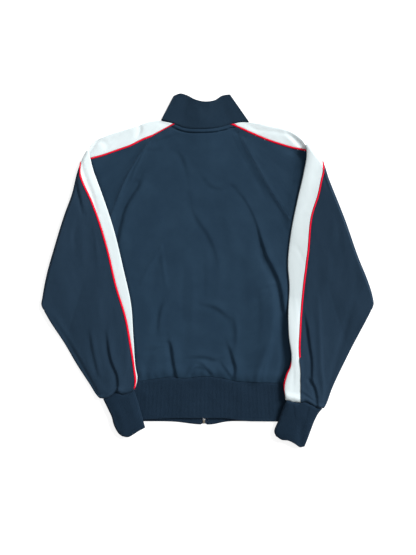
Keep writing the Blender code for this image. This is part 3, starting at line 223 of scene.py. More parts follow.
# Creases, placed one by one. A plain row is one line: its points, with each one's share of the
# height, then its width to the left and to the right of its direction, and its height, negative
# for a trough. Without shares it fades towards both ends.
BACK_CREASES = (
    *fold(((-144, 199, 0.2), (-152, 184, 0.9), (-163, 169, 1), (-175, 149, 1), (-185, 126, 1),
          (-191, 100, 1), (-197, 71, 1)), 6.2, 15, 18, 4.6, 2.6, 3.5),
    *fold(((63, 177, 0.1), (78, 159, 0.15), (94, 133, 0.2), (107, 102, 0.3), (118, 64, 0.7),
          (129, 31, 1), (142, 5, 1), (155, -24, 1), (161, -48, 1), (166, -83, 1),
          (172, -109, 0.7)), 2.2, 15, 11, 3.5, 2.8, 1.8),
    (((129, -13, 0.2), (140, -48, 0.7), (140, -109, 1), (135, -164, 1), (127, -208, 0.9),
      (118, -241, 0.6)), 12, 44, 4.8),
    (((168, -105, 0.6), (168, -131, 1), (168, -164, 1), (166, -208, 1), (157, -241, 1)),
      11, 8, -3.4),
    *fold(((72, 276, 0.4), (85, 251, 1), (98, 227, 1), (116, 196, 1), (133, 170, 1), (151, 146, 1),
          (168, 119, 1), (179, 93, 0.8)), 6.5, 11, 12, 0.8, 0.7, 2.9),
    (((186, 262, 0.5), (201, 256, 1), (217, 246, 1)), 4, 5, -2.6),
    *fold(((-63, 265, 0.2), (-52, 236, 0.25), (-43, 203, 0.2), (-38, 163, 0.2), (-32, 128, 0.5),
          (-19, 104, 1), (-3, 82, 1), (10, 56, 1), (19, 27, 0.6), (21, -13, 0.25),
          (16, -57, 0.15)), 5, 10, 15, 0.9, 1, 2.9),
    *sill(((-12, 207, 0.3), (1, 190, 0.8), (14, 181, 1), (32, 179, 0.8), (50, 188, 0.8),
          (67, 179, 0.5), (80, 159, 0.3)), 5, 13, 10, 0.65, 0.7, 2.6),
    *fold(((-96, -70, 0.4), (-103, -85, 1), (-107, -105, 1), (-109, -131, 0.5)),
          3.4, 9, 9, 1.3, 1.3, 2.9),
    *fold(((-85, -153, 0.3), (-80, -169, 0.9), (-76, -197, 1), (-69, -233, 0.9)),
          2.6, 9, 13, 2.4, 2.6, 2.2),
    *sill(((-105, -157, 0.5), (-91, -156, 1), (-82, -158, 0.6)), 2.6, 5, 6, 0.7, 0.8, 2.6),
    *sill(((-133, -175, 0.4), (-113, -171, 1), (-91, -164, 0.5)), 4, 9, 8, 0.7, 0.8, 2.6),
    *sill(((-38, -192, 0.4), (-16, -191, 1), (1, -193, 0.8), (16, -197, 0.8), (32, -189, 0.3)),
          3.4, 10, 6, 1.5, 1.8, 2.6),
    *sill(((-38, -225, 0.7), (-34, -219, 1), (-28, -214, 1), (-16, -213, 0.8), (-8, -217, 0.4)),
          2.4, 6, 5, 2.2, 2.4, 2),
    *sill(((-28, -203, 0.4), (-14, -206, 1), (-3, -215, 1), (8, -227, 0.8)),
          2.6, 7, 5, 1.5, 1.7, 2),
    *fold(((43, -160, 0.2), (52, -182, 0.8), (56, -197, 1), (61, -215, 1), (59, -233, 0.8)),
          2.6, 9, 12, 2.2, 2.3, 2.2),
    *fold(((30, -204, 0.5), (41, -219, 1), (53, -236, 0.8)), 2.6, 6, 6, 1.2, 1.2, 2),
    *sill(((-10, -76, 0.4), (14, -82, 1), (28, -90, 1), (43, -103, 0.5)), 4, 11, 8, 1.3, 1.5, 2.6),
    (((109, -48, 0.5), (112, -76, 1), (112, -105, 0.9), (109, -164, 0.4)), 6, 12, -1),
    (((140, -149, 0.3), (127, -180, 1), (116, -211, 1), (107, -244, 0.9)), 6, 10, 2.2),
    (((144, -175, 0.5), (135, -204, 1), (127, -237, 1)), 6, 5, -1.5),
    *fold(((52, -101), (58, -120), (61, -149), (56, -175)), 6, 14, 12, 0.8, 0.8, 4),
    (((-102, 53, 0.3), (-113, 31, 1), (-129, 5, 1), (-146, -30, 0.4)), 4, 4.5, 1),
    (((-102, 49, 0.4), (-98, 14, 1), (-91, -32, 0.5)), 4, 3.6, 1),
    (((-109, 27, 0.3), (-116, -4, 1), (-122, -35, 0.4)), 8, 8, -0.8),
    (((-124, -180, 0.4), (-133, -208, 1), (-135, -237, 0.8)), 10, 8, -1.3),
    *fold(((-80, 269), (-58, 249), (-45, 216)), 6, 10, 10, 0.7, 0.5, 3.5),
    *sill(((-111, 284, 0.5), (-87, 293, 1), (-67, 300, 0.5)), 3.6, 6, 8, 1, 0.3, 2.6),
    (((-133, 262, 0.5), (-120, 262, 1), (-105, 265, 0.4)), 4, 5, -0.8),
    (((54, 306, 0.6), (72, 300, 1), (85, 291, 0.5)), 4, 5, -1.4),
    (((41, 144), (54, 78), (63, 18)), 22, 18, 0.9),
    (((-43, 78), (-52, 5), (-43, -65)), 20, 20, 0.9),
    (((72, 34), (82, -32), (78, -98)), 16, 16, -0.8),
    (((-52, -105), (-47, -145), (-54, -180)), 10, 12, -0.8),
    (((-148, -32), (-131, -98), (-127, -153)), 14, 16, 0.9),
    *sill(((118, -43, 0.3), (133, -36, 1), (148, -31, 0.8)), 4, 6, 6, 0.7, 1.2, 2.6),
    (((142, -43, 0.3), (124, -57, 1), (107, -65, 0.3)), 5, 5, -0.6),
    (((63, -101, 0.3), (65, -136, 1), (63, -171, 0.4)), 4, 6, 0.9),
    (((-52, 18, 0.3), (-54, -43, 1), (-56, -105, 0.4)), 7, 7, -0.7),
    (((-32, 5, 0.3), (-32, -54, 1), (-34, -120, 0.4)), 7, 7, 0.7),
    (((-10, 34, 0.3), (-8, -21, 1), (-10, -65, 0.3)), 6, 6, -0.6),
    (((87, 276, 0.3), (107, 232, 1), (129, 192, 1), (160, 148, 0.5)), 5, 6, 0.6),
    (((-130, 284, 0.7), (-142, 265, 1), (-156, 243, 1), (-169, 221, 1), (-177, 203, 0.9),
      (-185, 185, 0.9), (-194, 161, 0.6)), 2.3, 9, 2.3),
    (((-128, 278, 0.6), (-139, 260, 1), (-149, 240, 1), (-158, 221, 0.8), (-166, 199, 0.5)),
      2.3, 4, 1.3),
    (((177, 262, 0.3), (197, 257, 1), (217, 249, 1)), 8, 6, -2.8),
    (((-261, 256, 0.9), (-252, 269, 1), (-242, 284, 0.9)), 5, 4, -2.4),
    (((-241, 288, 0.6), (-228, 281, 1), (-219, 273, 0.6)), 4, 6, -1.8),
    (((-248, 251, 0.5), (-234, 267, 1), (-221, 278, 0.5)), 7, 5, 0.9),
    (((-153, 322, 0.9), (-147, 311, 1), (-152, 295, 0.6)), 3, 4, -2.2),
    (((-168, 311, 0.6), (-162, 304, 1), (-166, 289, 0.5)), 5, 7, 0.7),
    (((-223, 280, 0.5), (-199, 291, 1), (-190, 298, 0.4)), 4, 4, -0.9),
    (((-210, 269, 0.4), (-184, 282, 1), (-157, 293, 0.4)), 6, 6, 0.7),
    (((-122, 325, 0.5), (-100, 322, 1), (-80, 315, 0.6)), 4, 5, -0.7),
    (((173, 306, 0.3), (188, 299, 0.9), (202, 289, 1), (216, 278, 1)), 4, 6, 2),
    (((175, 301, 0.4), (187, 291, 0.9), (198, 280, 1), (206, 268, 1)), 8, 4, -2.8),
    (((164, 298, 0.3), (177, 289, 1), (188, 278, 0.8)), 5, 6, 0.8),
    (((78, 322, 0.4), (98, 315, 1), (120, 313, 0.4)), 5, 5, -0.7),
    (((129, 306, 0.4), (146, 305, 1), (164, 302, 0.9), (177, 300, 0.6)), 2.6, 5, -1.1),
    (((100, 311, 0.6), (113, 307, 1), (127, 309, 0.4)), 3, 4, -1.1),
)
SLEEVE_CREASES = (
    *fold(((-286, 201, 0.8), (-283, 177, 1), (-278, 155, 1), (-271, 128, 0.4)),
          2.6, 6, 9, 2, 1.8, 2.2),
    (((-287, 106, 0.4), (-292, 71, 1), (-289, 31, 0.4)), 6, 6, -1.3),
    (((-276, 93, 0.4), (-274, 56, 1), (-272, 14, 0.4)), 8, 6, 1),
    (((-252, 111, 0.4), (-245, 67, 1), (-241, 9, 0.4)), 6, 3.6, 0.9),
    *fold(((-258, -134, 0.3), (-254, -164, 1), (-248, -193, 0.9), (-240, -228, 0.6)),
          3, 8, 8, 1.3, 1.3, 2.4),
    *fold(((-221, -138, 0.3), (-217, -171, 0.9), (-210, -202, 1), (-199, -228, 1), (-196, -246, 1),
          (-199, -270, 1)), 2.6, 8, 10, 2.3, 2.3, 2.2),
    (((-243, -43, 0.4), (-237, -92, 1), (-234, -145, 0.4)), 10, 8, 0.9),
    (((-324, 18, 0.4), (-311, -48, 1), (-289, -114, 0.4)), 16, 18, 1),
    (((-342, -65, 0.4), (-316, -114, 1), (-289, -162, 0.4)), 10, 10, -0.9),
    (((-179, -131, 0.4), (-175, -180, 1), (-177, -228, 0.6)), 6, 6, 0.9),
    (((-272, -175, 0.4), (-254, -219, 1), (-230, -263, 0.9)), 7, 7, 0.9),
    *fold(((213, -98, 0.3), (219, -131, 1), (223, -164, 1), (228, -197, 1), (228, -239, 0.8)),
          3, 6, 10, 2, 2.2, 2.4),
    *fold(((223, -239, 0.7), (234, -255, 1), (239, -274, 1), (241, -296, 0.9)),
          3.4, 5, 6, 2.4, 1.7, 2.9),
    *sill(((206, -266, 0.6), (221, -277, 1), (239, -291, 0.8)), 2.6, 5, 4, 1.2, 1.2, 2),
    (((243, -61, 0.3), (246, -153, 0.9), (249, -219, 1), (253, -252, 1), (251, -299, 0.9)),
      4.5, 7, 1.9),
    (((318, -72, 0.4), (305, -120, 1), (292, -164, 1), (280, -208, 1), (267, -257, 0.7)),
      7, 7, -1.5),
    (((265, 45, 0.4), (261, -10, 1), (256, -65, 0.5)), 12, 10, 0.9),
    (((254, 208, 0.8), (258, 196, 1), (262, 179, 0.5)), 4, 4, -1.3),
    (((318, 18, 0.4), (327, -32, 1), (318, -79, 0.3)), 9, 9, -0.9),
    (((283, 128, 0.4), (287, 78, 1), (296, 31, 0.4)), 9, 9, -0.8),
    *fold(((-336, -107, 0.5), (-316, -138, 1), (-287, -184, 1), (-263, -226, 1),
          (-241, -268, 0.8)), 3, 5, 9, 1.4, 1, 2.4),
    (((-276, 236, 0.8), (-271, 216, 1), (-263, 192, 1), (-252, 163, 0.8), (-241, 128, 0.4)),
      3.4, 4, -2.1),
    (((-263, 225, 0.4), (-248, 185, 1), (-230, 137, 0.4)), 5, 5, 0.7),
    (((204, 115, 0.3), (212, 133, 1), (226, 146, 0.4)), 3, 4, -0.7),
    (((195, 53, 0.4), (204, 36, 1), (210, 18, 0.4)), 3.5, 4, -0.6),
    (((188, -43, 0.4), (195, -98, 1), (195, -153, 0.4)), 5, 5, 0.6),
    (((199, -149, 0.4), (200, -175, 1), (197, -202, 0.4)), 3, 3, -0.7),
    (((187, -206, 0.6), (188, -230, 1), (187, -259, 0.5)), 3, 4, -0.9),
    (((226, 225, 0.4), (221, 199, 1), (215, 163, 0.4)), 5, 5, 0.6),
)
CUFF_CREASES = (
    (((206, -334, 0.3), (204, -356, 1), (206, -382, 1)), 9, 8, -2.4),
    (((184, -347, 0.4), (175, -360, 1), (166, -373, 0.5)), 8, 6, 0.9),
    *fold(((189, -294, 1), (191, -310, 0.8), (193, -327, 0.3)), 3, 4, 4, 0.6, 0.6, 2.2),
    *fold(((223, -303, 1), (217, -323, 0.7), (210, -343, 0.3)), 4, 5, 5, 0.6, 0.5, 2.6),
    (((-199, -294, 0.4), (-190, -316, 1), (-179, -349, 0.5)), 8, 9, 0.9),
    (((-170, -281, 0.6), (-162, -307, 1), (-155, -338, 0.5)), 6, 7, 0.6),
    (((-215, -290, 0.5), (-201, -318, 1), (-190, -347, 0.6)), 5, 5, -0.6),
)
FRONT_CREASES = (
    (((-60, 200), (-84, 120), (-92, 30)), 9, 12, 0.8),
    (((-180, -60), (-150, -120), (-140, -200)), 10, 12, 0.9),
    (((60, 190), (96, 120), (120, 40)), 10, 12, 0.8),
    (((40, -80), (60, -150), (56, -220)), 8, 10, 0.8),
    (((150, -100), (140, -170), (130, -225)), 10, 10, 0.9),
    (((-40, -140), (-56, -190), (-50, -226)), 8, 8, 0.7),
)

# Unevenness of the cloth: share in millimetres, size and seed of each layer of noise
BACK_UNEVEN = ((0.55, 46.0, 3.1), (0.22, 17.0, 8.7))
SLEEVE_UNEVEN = ((0.5, 42.0, 5.5), (0.2, 15.0, 1.9))
CUFF_UNEVEN = ((0.6, 24.0, 4.4),)
COLLAR_UNEVEN = ((0.8, 34.0, 7.7),)
HEM_UNEVEN = ((1.0, 40.0, 2.2), (0.4, 13.0, 6.1))

# Neck band, as distances below the collar seam
BAND_WIDE = 7.7
BAND_HIGH = 1.5
GROOVE_OFF = 0.6                  # its stitches lie this far below the band
GROOVE_HALF = 1.3
GROOVE_DEEP = 2.3
ALLOWANCE = 14.0                  # the raglan seam's allowance shows as a faint step this far in
ALLOWANCE_STEP = 0.25
ALLOWANCE_END = 60.0              # and has faded away by here,
ALLOWANCE_FADE = 46.0             # over this distance

# Cells along and across each fine grid
CELLS_LOWER = 46
CELLS_TURN = 12
CELLS_UPPER = 156
CELLS_STRIPE = 12
CELLS_EDGE = 6
CELLS_SLEEVE = 54
CELLS_CURL = 4
CELLS_SEAM = 130
CELLS_SIDE = 76
CELLS_BACK = 150
CELLS_FRONT = 48
PLAN_CELLS = 320
CURL_END = math.radians(82)
BORDER = (0.0, 0.5, 1.1, 2.0, 3.4)        # places of the first columns beside a seam
NECK_ROWS = (0.0, 0.5, 1.2, 2.2, 3.6, 5.0, 6.2, 7.0, 7.7, 8.4, 9.2, 10.6, 13.0, 17.0, 22.0,
             28.0, 35.0, 43.0)

# Creases of the collar and the hem rib, in the same columns
COLLAR_CREASES = (
    (((-44, 380), (-50, 352), (-56, 326)), 9, 11, -0.9),
    (((-24, 372), (-20, 346), (-10, 318)), 10, 10, 0.7),
    (((20, 374), (14, 350), (6, 322)), 9, 9, -0.7),
    (((44, 382), (52, 352), (60, 330)), 9, 10, 0.8),
)
HEM_CREASES = (
    (((-128, -236), (-124, -280), (-126, -328)), 14, 16, -0.8),
    (((-52, -238), (-50, -280), (-44, -324)), 12, 14, 0.7),
    (((8, -236), (4, -280), (6, -322)), 12, 12, -0.7),
    (((70, -244), (74, -290), (78, -328)), 13, 14, 0.8),
    (((126, -248), (130, -290), (134, -330)), 12, 12, -0.8),
)

# Sewing and teeth
SEAM_PROUD = 0.2                  # the pressed-over allowance stands up along its stitches
SEAM_RIDGE = 1.3                  # half the width of that ridge
SEAM_PUCKER = 0.18                # small ripples beside those stitches
PUCKER_REACH = 7.0
GATHER = 0.55                     # small folds where the back is drawn in to the hem
GATHER_REACH = 13.0
CUFF_GATHER = 0.5                 # and where a sleeve is drawn in to its cuff
HEM_OVERHANG = (2.0, 15, 11, 0.9, 4.5)      # roll over a band: height, how far up, width; dip, width
FRONT_DROP = 1.6                  # the fronts meet the hem rib a little lower than the back does
TOOTH_PITCH = 1.8
TOOTH_LONG = 3.6
TOOTH_ASIDE = 0.5                 # teeth sit this far to each side in turn
STITCH_PITCH = 2.6
STITCH_LONG = 2.0
STITCH_THICK = 0.45
STITCH_IN = 2.6                   # rows on each side of the raglan seam
BLUNT = 0.55                      # a stitch or tooth narrows to this share at its ends

# Finishes: linear colours
NAVY = (0.0104, 0.0288, 0.0535)
NAVY_FADED = (0.0156, 0.0404, 0.0715)
NAVY_RIB = (0.0060, 0.0180, 0.0355)
NAVY_RIB_FADED = (0.0090, 0.0250, 0.0480)
WHITE = (0.585, 0.655, 0.67)
WHITE_DULL = (0.54, 0.61, 0.63)
PAINTED_LIGHT = 0.17                    # painted light: the whites are painted lighter towards the left shoulder
# the direction in which that painted light grows, and the span over which it does
PAINTED_LIGHT_WAY = (-0.5, 1.0, 0.0)
PAINTED_LIGHT_REACH = (0.0, 0.4)
RED = (0.75, 0.0045, 0.030)
RED_FADED = (0.72, 0.012, 0.045)
COLLAR = (0.0095, 0.0255, 0.0470)
COLLAR_FADED = (0.0130, 0.0320, 0.0560)
SLEEVE = (0.0100, 0.0256, 0.0468)
SLEEVE_FADED = (0.0142, 0.0340, 0.0612)
METAL = (0.34, 0.30, 0.24)
BLUISH = (0.5, 0.7, 1.0)
CLOUD_SPAN = (0.35, 0.68)         # stretch of the cloudy noise that counts
# Painted shade in the seams: the colour is darkened near a cut edge, where shade falls
SEAM_SHADE_REACH = 1.6                   # cloth darkens within this distance of its cut edge,
SEAM_SHADE = 0.08                 # by this share
KNIT_STRENGTH = 0.7
SHEEN_ROUGHNESS = 0.5
CLOTH_SPECULAR = 0.12
MARK_STRENGTH = 0.15              # handling marks on the zip's hard pieces
MARK_DEEP = 0.05
MARK_TONE = 0.72

# Each cloth: colour, faded colour, knit, width and height of a loop, depth of the knit, how cloudy
# and how striped it is, its sheen and that sheen's colour, and how much painted light lightens one side
# of it
CLOTHS = {
    "navy_knit": (NAVY, NAVY_FADED, "tricot", (1.1, 0.9), 0.14, 0.45, 0.12, 0.03, BLUISH),
    "navy_rib": (NAVY_RIB, NAVY_RIB_FADED, "rib", (1.5, 1.3), 0.22, 0.4, 0.1, 0.03, BLUISH),
    "collar_rib": (COLLAR, COLLAR_FADED, "rib", (1.5, 1.3), 0.22, 0.4, 0.1, 0.03, BLUISH),
    "sleeve_knit": (SLEEVE, SLEEVE_FADED, "tricot", (1.1, 0.9), 0.14, 0.45, 0.12, 0.03, BLUISH),
    "white_knit": (WHITE, WHITE_DULL, "tricot", (1.1, 0.9), 0.10, 0.5, 0.05, 0.02, (1, 1, 1), PAINTED_LIGHT),
    "red_piping": (RED, RED_FADED, "tricot", (0.7, 0.5), 0.10, 0.3, 0.15, 0.02, (1, 0.5, 0.6)),
    "zip_tape": (NAVY_RIB, NAVY_RIB_FADED, "tricot", (0.6, 0.6), 0.08, 0.3, 0.1, 0.05, (1, 1, 1)),
    "navy_thread": (NAVY, NAVY_FADED, "tricot", (0.4, 0.4), 0.05, 0.3, 0.1, 0.1, (1, 1, 1)),
}

# Camera and light
VIEW_X = 1.1
VIEW_Y = -16.0
VIEW_LONG = 1221.0                # what the long side of the frame takes in
LENS = 60.0
SENSOR = 36.0
FLOOR_HALF = 4000.0
FLOOR_GAP = 0.3
SKY_STRENGTH = 0.45
SUN_FROM = (0.80, 0.52, 0.58)
SUN_STRENGTH = 4.9
SUN_SPREAD = 24.0                 # degrees: how soft the main light is
FLOOR_GLOW = 0.75
FLOOR_GREY = (0.5, 0.5, 0.5)


# -------------------- curves in plan

def even(count):
    """Evenly spaced numbers from 0 to 1."""
    return np.linspace(0, 1, count)


def length_of(vectors):
    return np.linalg.norm(vectors, axis=-1, keepdims=True)


def run_along(points):
    """Length along a broken line up to each of its points."""
    return np.concatenate([[0.0], np.cumsum(length_of(np.diff(points, axis=0))[:, 0])])


def length_along(points):
    return float(length_of(np.diff(points, axis=0)).sum())


def left_of(points, size=1.0):
    """Vectors of one size to the left of a line's direction, one at each of its points."""
    run = np.gradient(points, axis=0)
    turned = np.stack([-run[:, 1], run[:, 0]], -1)
    return size * turned / length_of(turned)


def spline(points):
    """Smooth curve through the points, as a function of its fraction of length."""
    knots = np.array(points, float)
    steps = length_of(np.diff(knots, axis=0))[:, 0]
    places = np.concatenate(([0.0], np.cumsum(steps))) / steps.sum()
    slopes = np.gradient(knots, places, axis=0)

    def at(fraction):
        t = np.clip(np.asarray(fraction, float), 0, 1)
        i = np.clip(np.searchsorted(places, t, side="right") - 1, 0, len(knots) - 2)
        width = (places[i + 1] - places[i])[..., None]
        u = (t - places[i])[..., None] / width
        rise = u * u * (3 - 2 * u)
        return ((1 - rise) * knots[i] + rise * knots[i + 1]
                + u * (1 - u) ** 2 * width * slopes[i] - u * u * (1 - u) * width * slopes[i + 1])
    return at


def traced(points, count=61):
    """Places at even fractions of the smooth curve through the points."""
    return spline(points)(even(count))


def chain(first, second, corner):
    """Two curves end to end, meeting at the fraction called corner."""
    def at(fraction):
        t = np.asarray(fraction, float)
        early = first(t / corner)
        late = second((t - corner) / (1 - corner))
        return np.where((t < corner)[..., None], early, late)
    return at


def fitted(curve, start, end, haste=1.0):
    """The curve, eased so that it runs from start to end; with more haste it is itself sooner."""
    shift_start, shift_end = start - curve(0.0), end - curve(1.0)

    def at(fraction):
        t = np.asarray(fraction, float)[..., None]
        return curve(fraction) + (1 - t) ** haste * shift_start + t ** haste * shift_end
    return at


def normals(curve, fraction):
    """Unit vectors to the left of the curve's direction."""
    t = np.clip(np.asarray(fraction, float), 0, 1)
    run = curve(np.minimum(t + 0.02, 1)) - curve(np.maximum(t - 0.02, 0))
    turned = np.stack([-run[..., 1], run[..., 0]], -1)
    return turned / length_of(turned)


def offset(curve, distance):
    """The curve moved to the left of its direction."""
    return lambda fraction: curve(fraction) + distance * normals(curve, fraction)


def patch(start, end, low, high, across, along):
    """Grid between four edges: start and end run across, low and high run along."""
    a, b = across[None, :, None], along[:, None, None]
    top, bottom = start(across), end(across)
    left, right = low(along), high(along)
    corners = ((1 - a) * (1 - b) * top[0] + a * (1 - b) * top[-1]
               + (1 - a) * b * bottom[0] + a * b * bottom[-1])
    return ((1 - b) * top[None] + b * bottom[None]
            + (1 - a) * left[:, None] + a * right[:, None] - corners)


def rise(value, low, high):
    """0 below low, 1 above high and smooth between."""
    t = np.clip((value - low) / (high - low), 0, 1)
    return t * t * (3 - 2 * t)


def bell(distance, wide):
    """A soft hump: 1 at its middle and near 0 at twice its width."""
    return np.exp(-(distance / wide) ** 2)


def distance_to(places, line):
    """Distance from each place to a broken line, and the fraction along it of the nearest point."""
    best = np.full(places.shape[:-1], np.inf)
    where = np.zeros(places.shape[:-1])
    for i, (a, b) in enumerate(zip(line[:-1], line[1:])):
        run = b - a
        t = np.clip(((places - a) @ run) / (run @ run), 0, 1)
        d = np.linalg.norm(places - a - t[..., None] * run, axis=-1)
        closer = d < best
        best = np.where(closer, d, best)
        where = np.where(closer, (i + t) / (len(line) - 1), where)
    return best, where


def depth_inside(places, outline):
    """Distance to a closed outline, negative outside it."""
    loop = np.vstack([outline, outline[:1]])
    distance, _ = distance_to(places, loop)
    inside = np.zeros(distance.shape, bool)
    for a, b in zip(loop[:-1], loop[1:]):
        spans = (a[1] > places[..., 1]) != (b[1] > places[..., 1])
        height = b[1] - a[1] if b[1] != a[1] else 1.0
        cross = a[0] + (places[..., 1] - a[1]) * (b[0] - a[0]) / height
        inside ^= spans & (places[..., 0] < cross)
    return np.where(inside, distance, -distance)


def spread(start, end, cells, border_start=True, border_end=True):
    """Places from start to end, closer together beside a seam."""
    low = [start + d for d in BORDER] if border_start else [start]
    high = [end - d for d in BORDER[::-1]] if border_end else [end]
    inner = np.linspace(low[-1], high[0], cells - len(low) - len(high) + 3)[1:-1]
    return np.concatenate([low, inner, high])


# -------------------- heights

def crease_relief(places, creases):
    """Sum of soft troughs and ridges, each steeper on one side than on the other."""
    total = np.zeros(places.shape[:-1])
    for points, left, right, height in creases:
        drawn = traced(points, 3 * len(points))
        line = drawn[:, :2]
        reach = 3 * max(left, right)
        near = np.all((places > line.min(0) - reach) & (places < line.max(0) + reach), axis=-1)
        if not near.any():
            continue
        spot = places[near]
        distance, where = distance_to(spot, line)
        ends = line[1:] - line[:-1]
        piece = np.minimum((where * (len(line) - 1)).astype(int), len(line) - 2)
        aside = spot - line[piece]
        leftward = ends[piece, 0] * aside[:, 1] - ends[piece, 1] * aside[:, 0] > 0
        wide = np.where(leftward, left, right)
        fade = np.sin(math.pi * np.clip(where, 0.07, 0.93)) ** 0.6
        if drawn.shape[1] > 2:
            fade = np.clip(np.interp(where, even(len(drawn)), drawn[:, 2]), 0, 1)
        total[near] += height * bell(distance, wide) * fade
    return total


def unevenness(places, layers):
    """Gentle unevenness of cloth that has been worn and washed."""
    total = 0.0
    for share, size, seed in layers:
        values = [noise.noise(Vector((x, y, seed))) for x, y in places.reshape(-1, 2) / size]
        total = total + share * np.array(values).reshape(places.shape[:-1])
    return total


def wavering(along, waves, wander, slow, start=0.0):
    """A wave whose pitch wanders, as in cloth that is drawn in by hand."""
    return np.sin(along * waves + wander * np.sin(along * slow + start))


def overhang(distance, high, middle, wide, dip, near):
    """Cloth that rolls a little over the band it is sewn to, with a dip along the seam."""
    return high * bell(distance - middle, wide) - dip * bell(distance, near)


def front_rise(places):
    """How far the fronts are lifted by the slider and pull tab under them."""
    side = np.maximum(np.abs(places[..., 0] - ZIP_X) - SLIDER_HALF, 0)
    return SLIDER_LIFT * bell(side, SLIDER_REACH) * rise(places[..., 1], *SLIDER_RUN)


def sleeve_cover(places):
    """Depth under the nearest turned sleeve, negative in the open part of the back."""
    return np.maximum(depth_inside(places, COVERS[0]), depth_inside(places, COVERS[1]))


def propped(places):
    """How far the back stands up against a turned sleeve's top edge."""
    total = 0.0
    for spec, cover in zip((LEFT, RIGHT), COVERS):
        aside, where = distance_to(places, traced(spec["top"]))
        wide = np.where(depth_inside(places, cover) > 0, PROP_UNDER, PROP_BESIDE)
        total = total + np.interp(where, *np.transpose(spec["prop"])) * bell(aside, wide)
    return total


def back_rise(places):
    """Relief of the back: air, creases and the lift over the slider, level under the sleeves."""
    shown = rise(-sleeve_cover(places), -2, 5)
    uneven = unevenness(places, BACK_UNEVEN)
    relief = np.maximum(BACK_LOFT + crease_relief(places, BACK_CREASES) + uneven, BACK_LOW)
    return front_rise(places) + relief * shown + propped(places)


# -------------------- meshes

def cut_places(grid):
    """Each point's place in the flat cut: across and along, and its distance to the cut's edge."""
    across = np.zeros(grid.shape[:2])
    along = np.zeros(grid.shape[:2])
    across[:, 1:] = np.cumsum(length_of(np.diff(grid, axis=1))[..., 0], axis=1)
    along[1:] = np.cumsum(length_of(np.diff(grid, axis=0))[..., 0], axis=0)
    edge = np.minimum(np.minimum(across, across[:, -1:] - across),
                      np.minimum(along, along[-1:] - along))
    middle = across.shape[1] // 2
    return np.stack([across - across[:, middle:middle + 1], along, edge], -1)


def quads(rows, columns, base, closed=False, flip=False):
    """Faces of a grid whose points start at base."""
    c = np.arange(columns if closed else columns - 1)
    here = np.arange(rows - 1)[:, None] * columns + c
    across = np.arange(rows - 1)[:, None] * columns + (c + 1) % columns
    faces = np.stack([here, across, across + columns, here + columns], -1).reshape(-1, 4) + base
    return faces[:, ::-1] if flip else faces


def make_mesh(name, vertices, faces, finish, cut=None):
    """A smooth mesh object that rides on the jacket; cut holds each point's place in the flat cloth."""
    mesh = bpy.data.meshes.new(name)
    mesh.from_pydata((np.asarray(vertices) * MM).tolist(), [], [list(map(int, f)) for f in faces])
    if cut is not None:
        store = mesh.attributes.new("cut", 'FLOAT_VECTOR', 'POINT')
        store.data.foreach_set("vector", np.asarray(cut, np.float32).ravel())
    mesh.materials.append(finish)
    mesh.shade_smooth()
    mesh.set_sharp_from_angle(angle=math.radians(60))
    made = bpy.data.objects.new(name, mesh)
    bpy.context.scene.collection.objects.link(made)
    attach(made, BODY)
    return made


def volume_of(vertices, faces):
    total = 0.0
    for faces_of in (faces[:, [0, 1, 2]], faces[:, [0, 2, 3]]):
        a, b, c = (vertices[faces_of[:, i]] for i in range(3))
        total += float((a * np.cross(b, c)).sum())
    return total


def wall(name, outer, inner, finish, closed=False):
    """Closed shell between an outer and an inner grid of the same columns (rows may differ)."""
    columns, rows_out, rows_in = outer.shape[1], len(outer), len(inner)
    base = rows_out * columns
    parts = [quads(rows_out, columns, 0, closed), quads(rows_in, columns, base, closed, True)]
    c = np.arange(columns if closed else columns - 1)
    after = (c + 1) % columns
    last_out, last_in = (rows_out - 1) * columns, base + (rows_in - 1) * columns
    parts.append(np.stack([after, c, base + c, base + after], -1))
    parts.append(np.stack([last_out + c, last_out + after, last_in + after, last_in + c], -1))
    if not closed:
        r = np.arange(rows_out - 1)
        for edge, order in ((0, 1), (columns - 1, -1)):
            near = np.minimum(r * (rows_in - 1) // (rows_out - 1), rows_in - 1)
            far = np.minimum((r + 1) * (rows_in - 1) // (rows_out - 1), rows_in - 1)
            side = np.stack([r * columns + edge, (r + 1) * columns + edge,
                             base + far * columns + edge, base + near * columns + edge], -1)
            parts.append(side[:, ::order])
    faces = np.vstack(parts)
    vertices = np.vstack([outer.reshape(-1, 3), inner.reshape(-1, 3)])
    if volume_of(vertices, faces) < 0:
        faces = faces[:, ::-1]
    cut_in = cut_places(inner).reshape(-1, 3)
    cut = np.vstack([cut_places(outer).reshape(-1, 3), cut_in])
    tidy = [list(dict.fromkeys(map(int, f))) for f in faces]
    return make_mesh(name, vertices, [f for f in tidy if len(f) > 2], finish, cut)


def tube(name, rings, finish):
    """Solid cord through rings of points, with flat ends."""
    count, around = rings.shape[:2]
    faces = quads(count, around, 0, closed=True)
    vertices = rings.reshape(-1, 3)
    if volume_of(vertices, faces) < 0:
        faces = faces[:, ::-1]
        ends = [list(range(around)), list(reversed(range((count - 1) * around, count * around)))]
    else:
        ends = [list(reversed(range(around))), list(range((count - 1) * around, count * around))]
    across = np.arange(around)[None] / around * 2 * PIPING
    along = run_along(rings.mean(1))[:, None]
    cut = np.stack(np.broadcast_arrays(across, along, np.full((1, 1), PIPING)), -1)
    return make_mesh(name, vertices, list(faces) + ends, finish, cut.reshape(-1, 3))


def seam_roll(near):
    """How far a panel bends down at this distance from its seam."""
    return SEAM_ROLL * bell(near, SEAM_REACH)


def lifted(places, height):
    return np.concatenate([places, np.broadcast_to(height, places.shape[:-1])[..., None]], -1)


# -------------------- sleeves

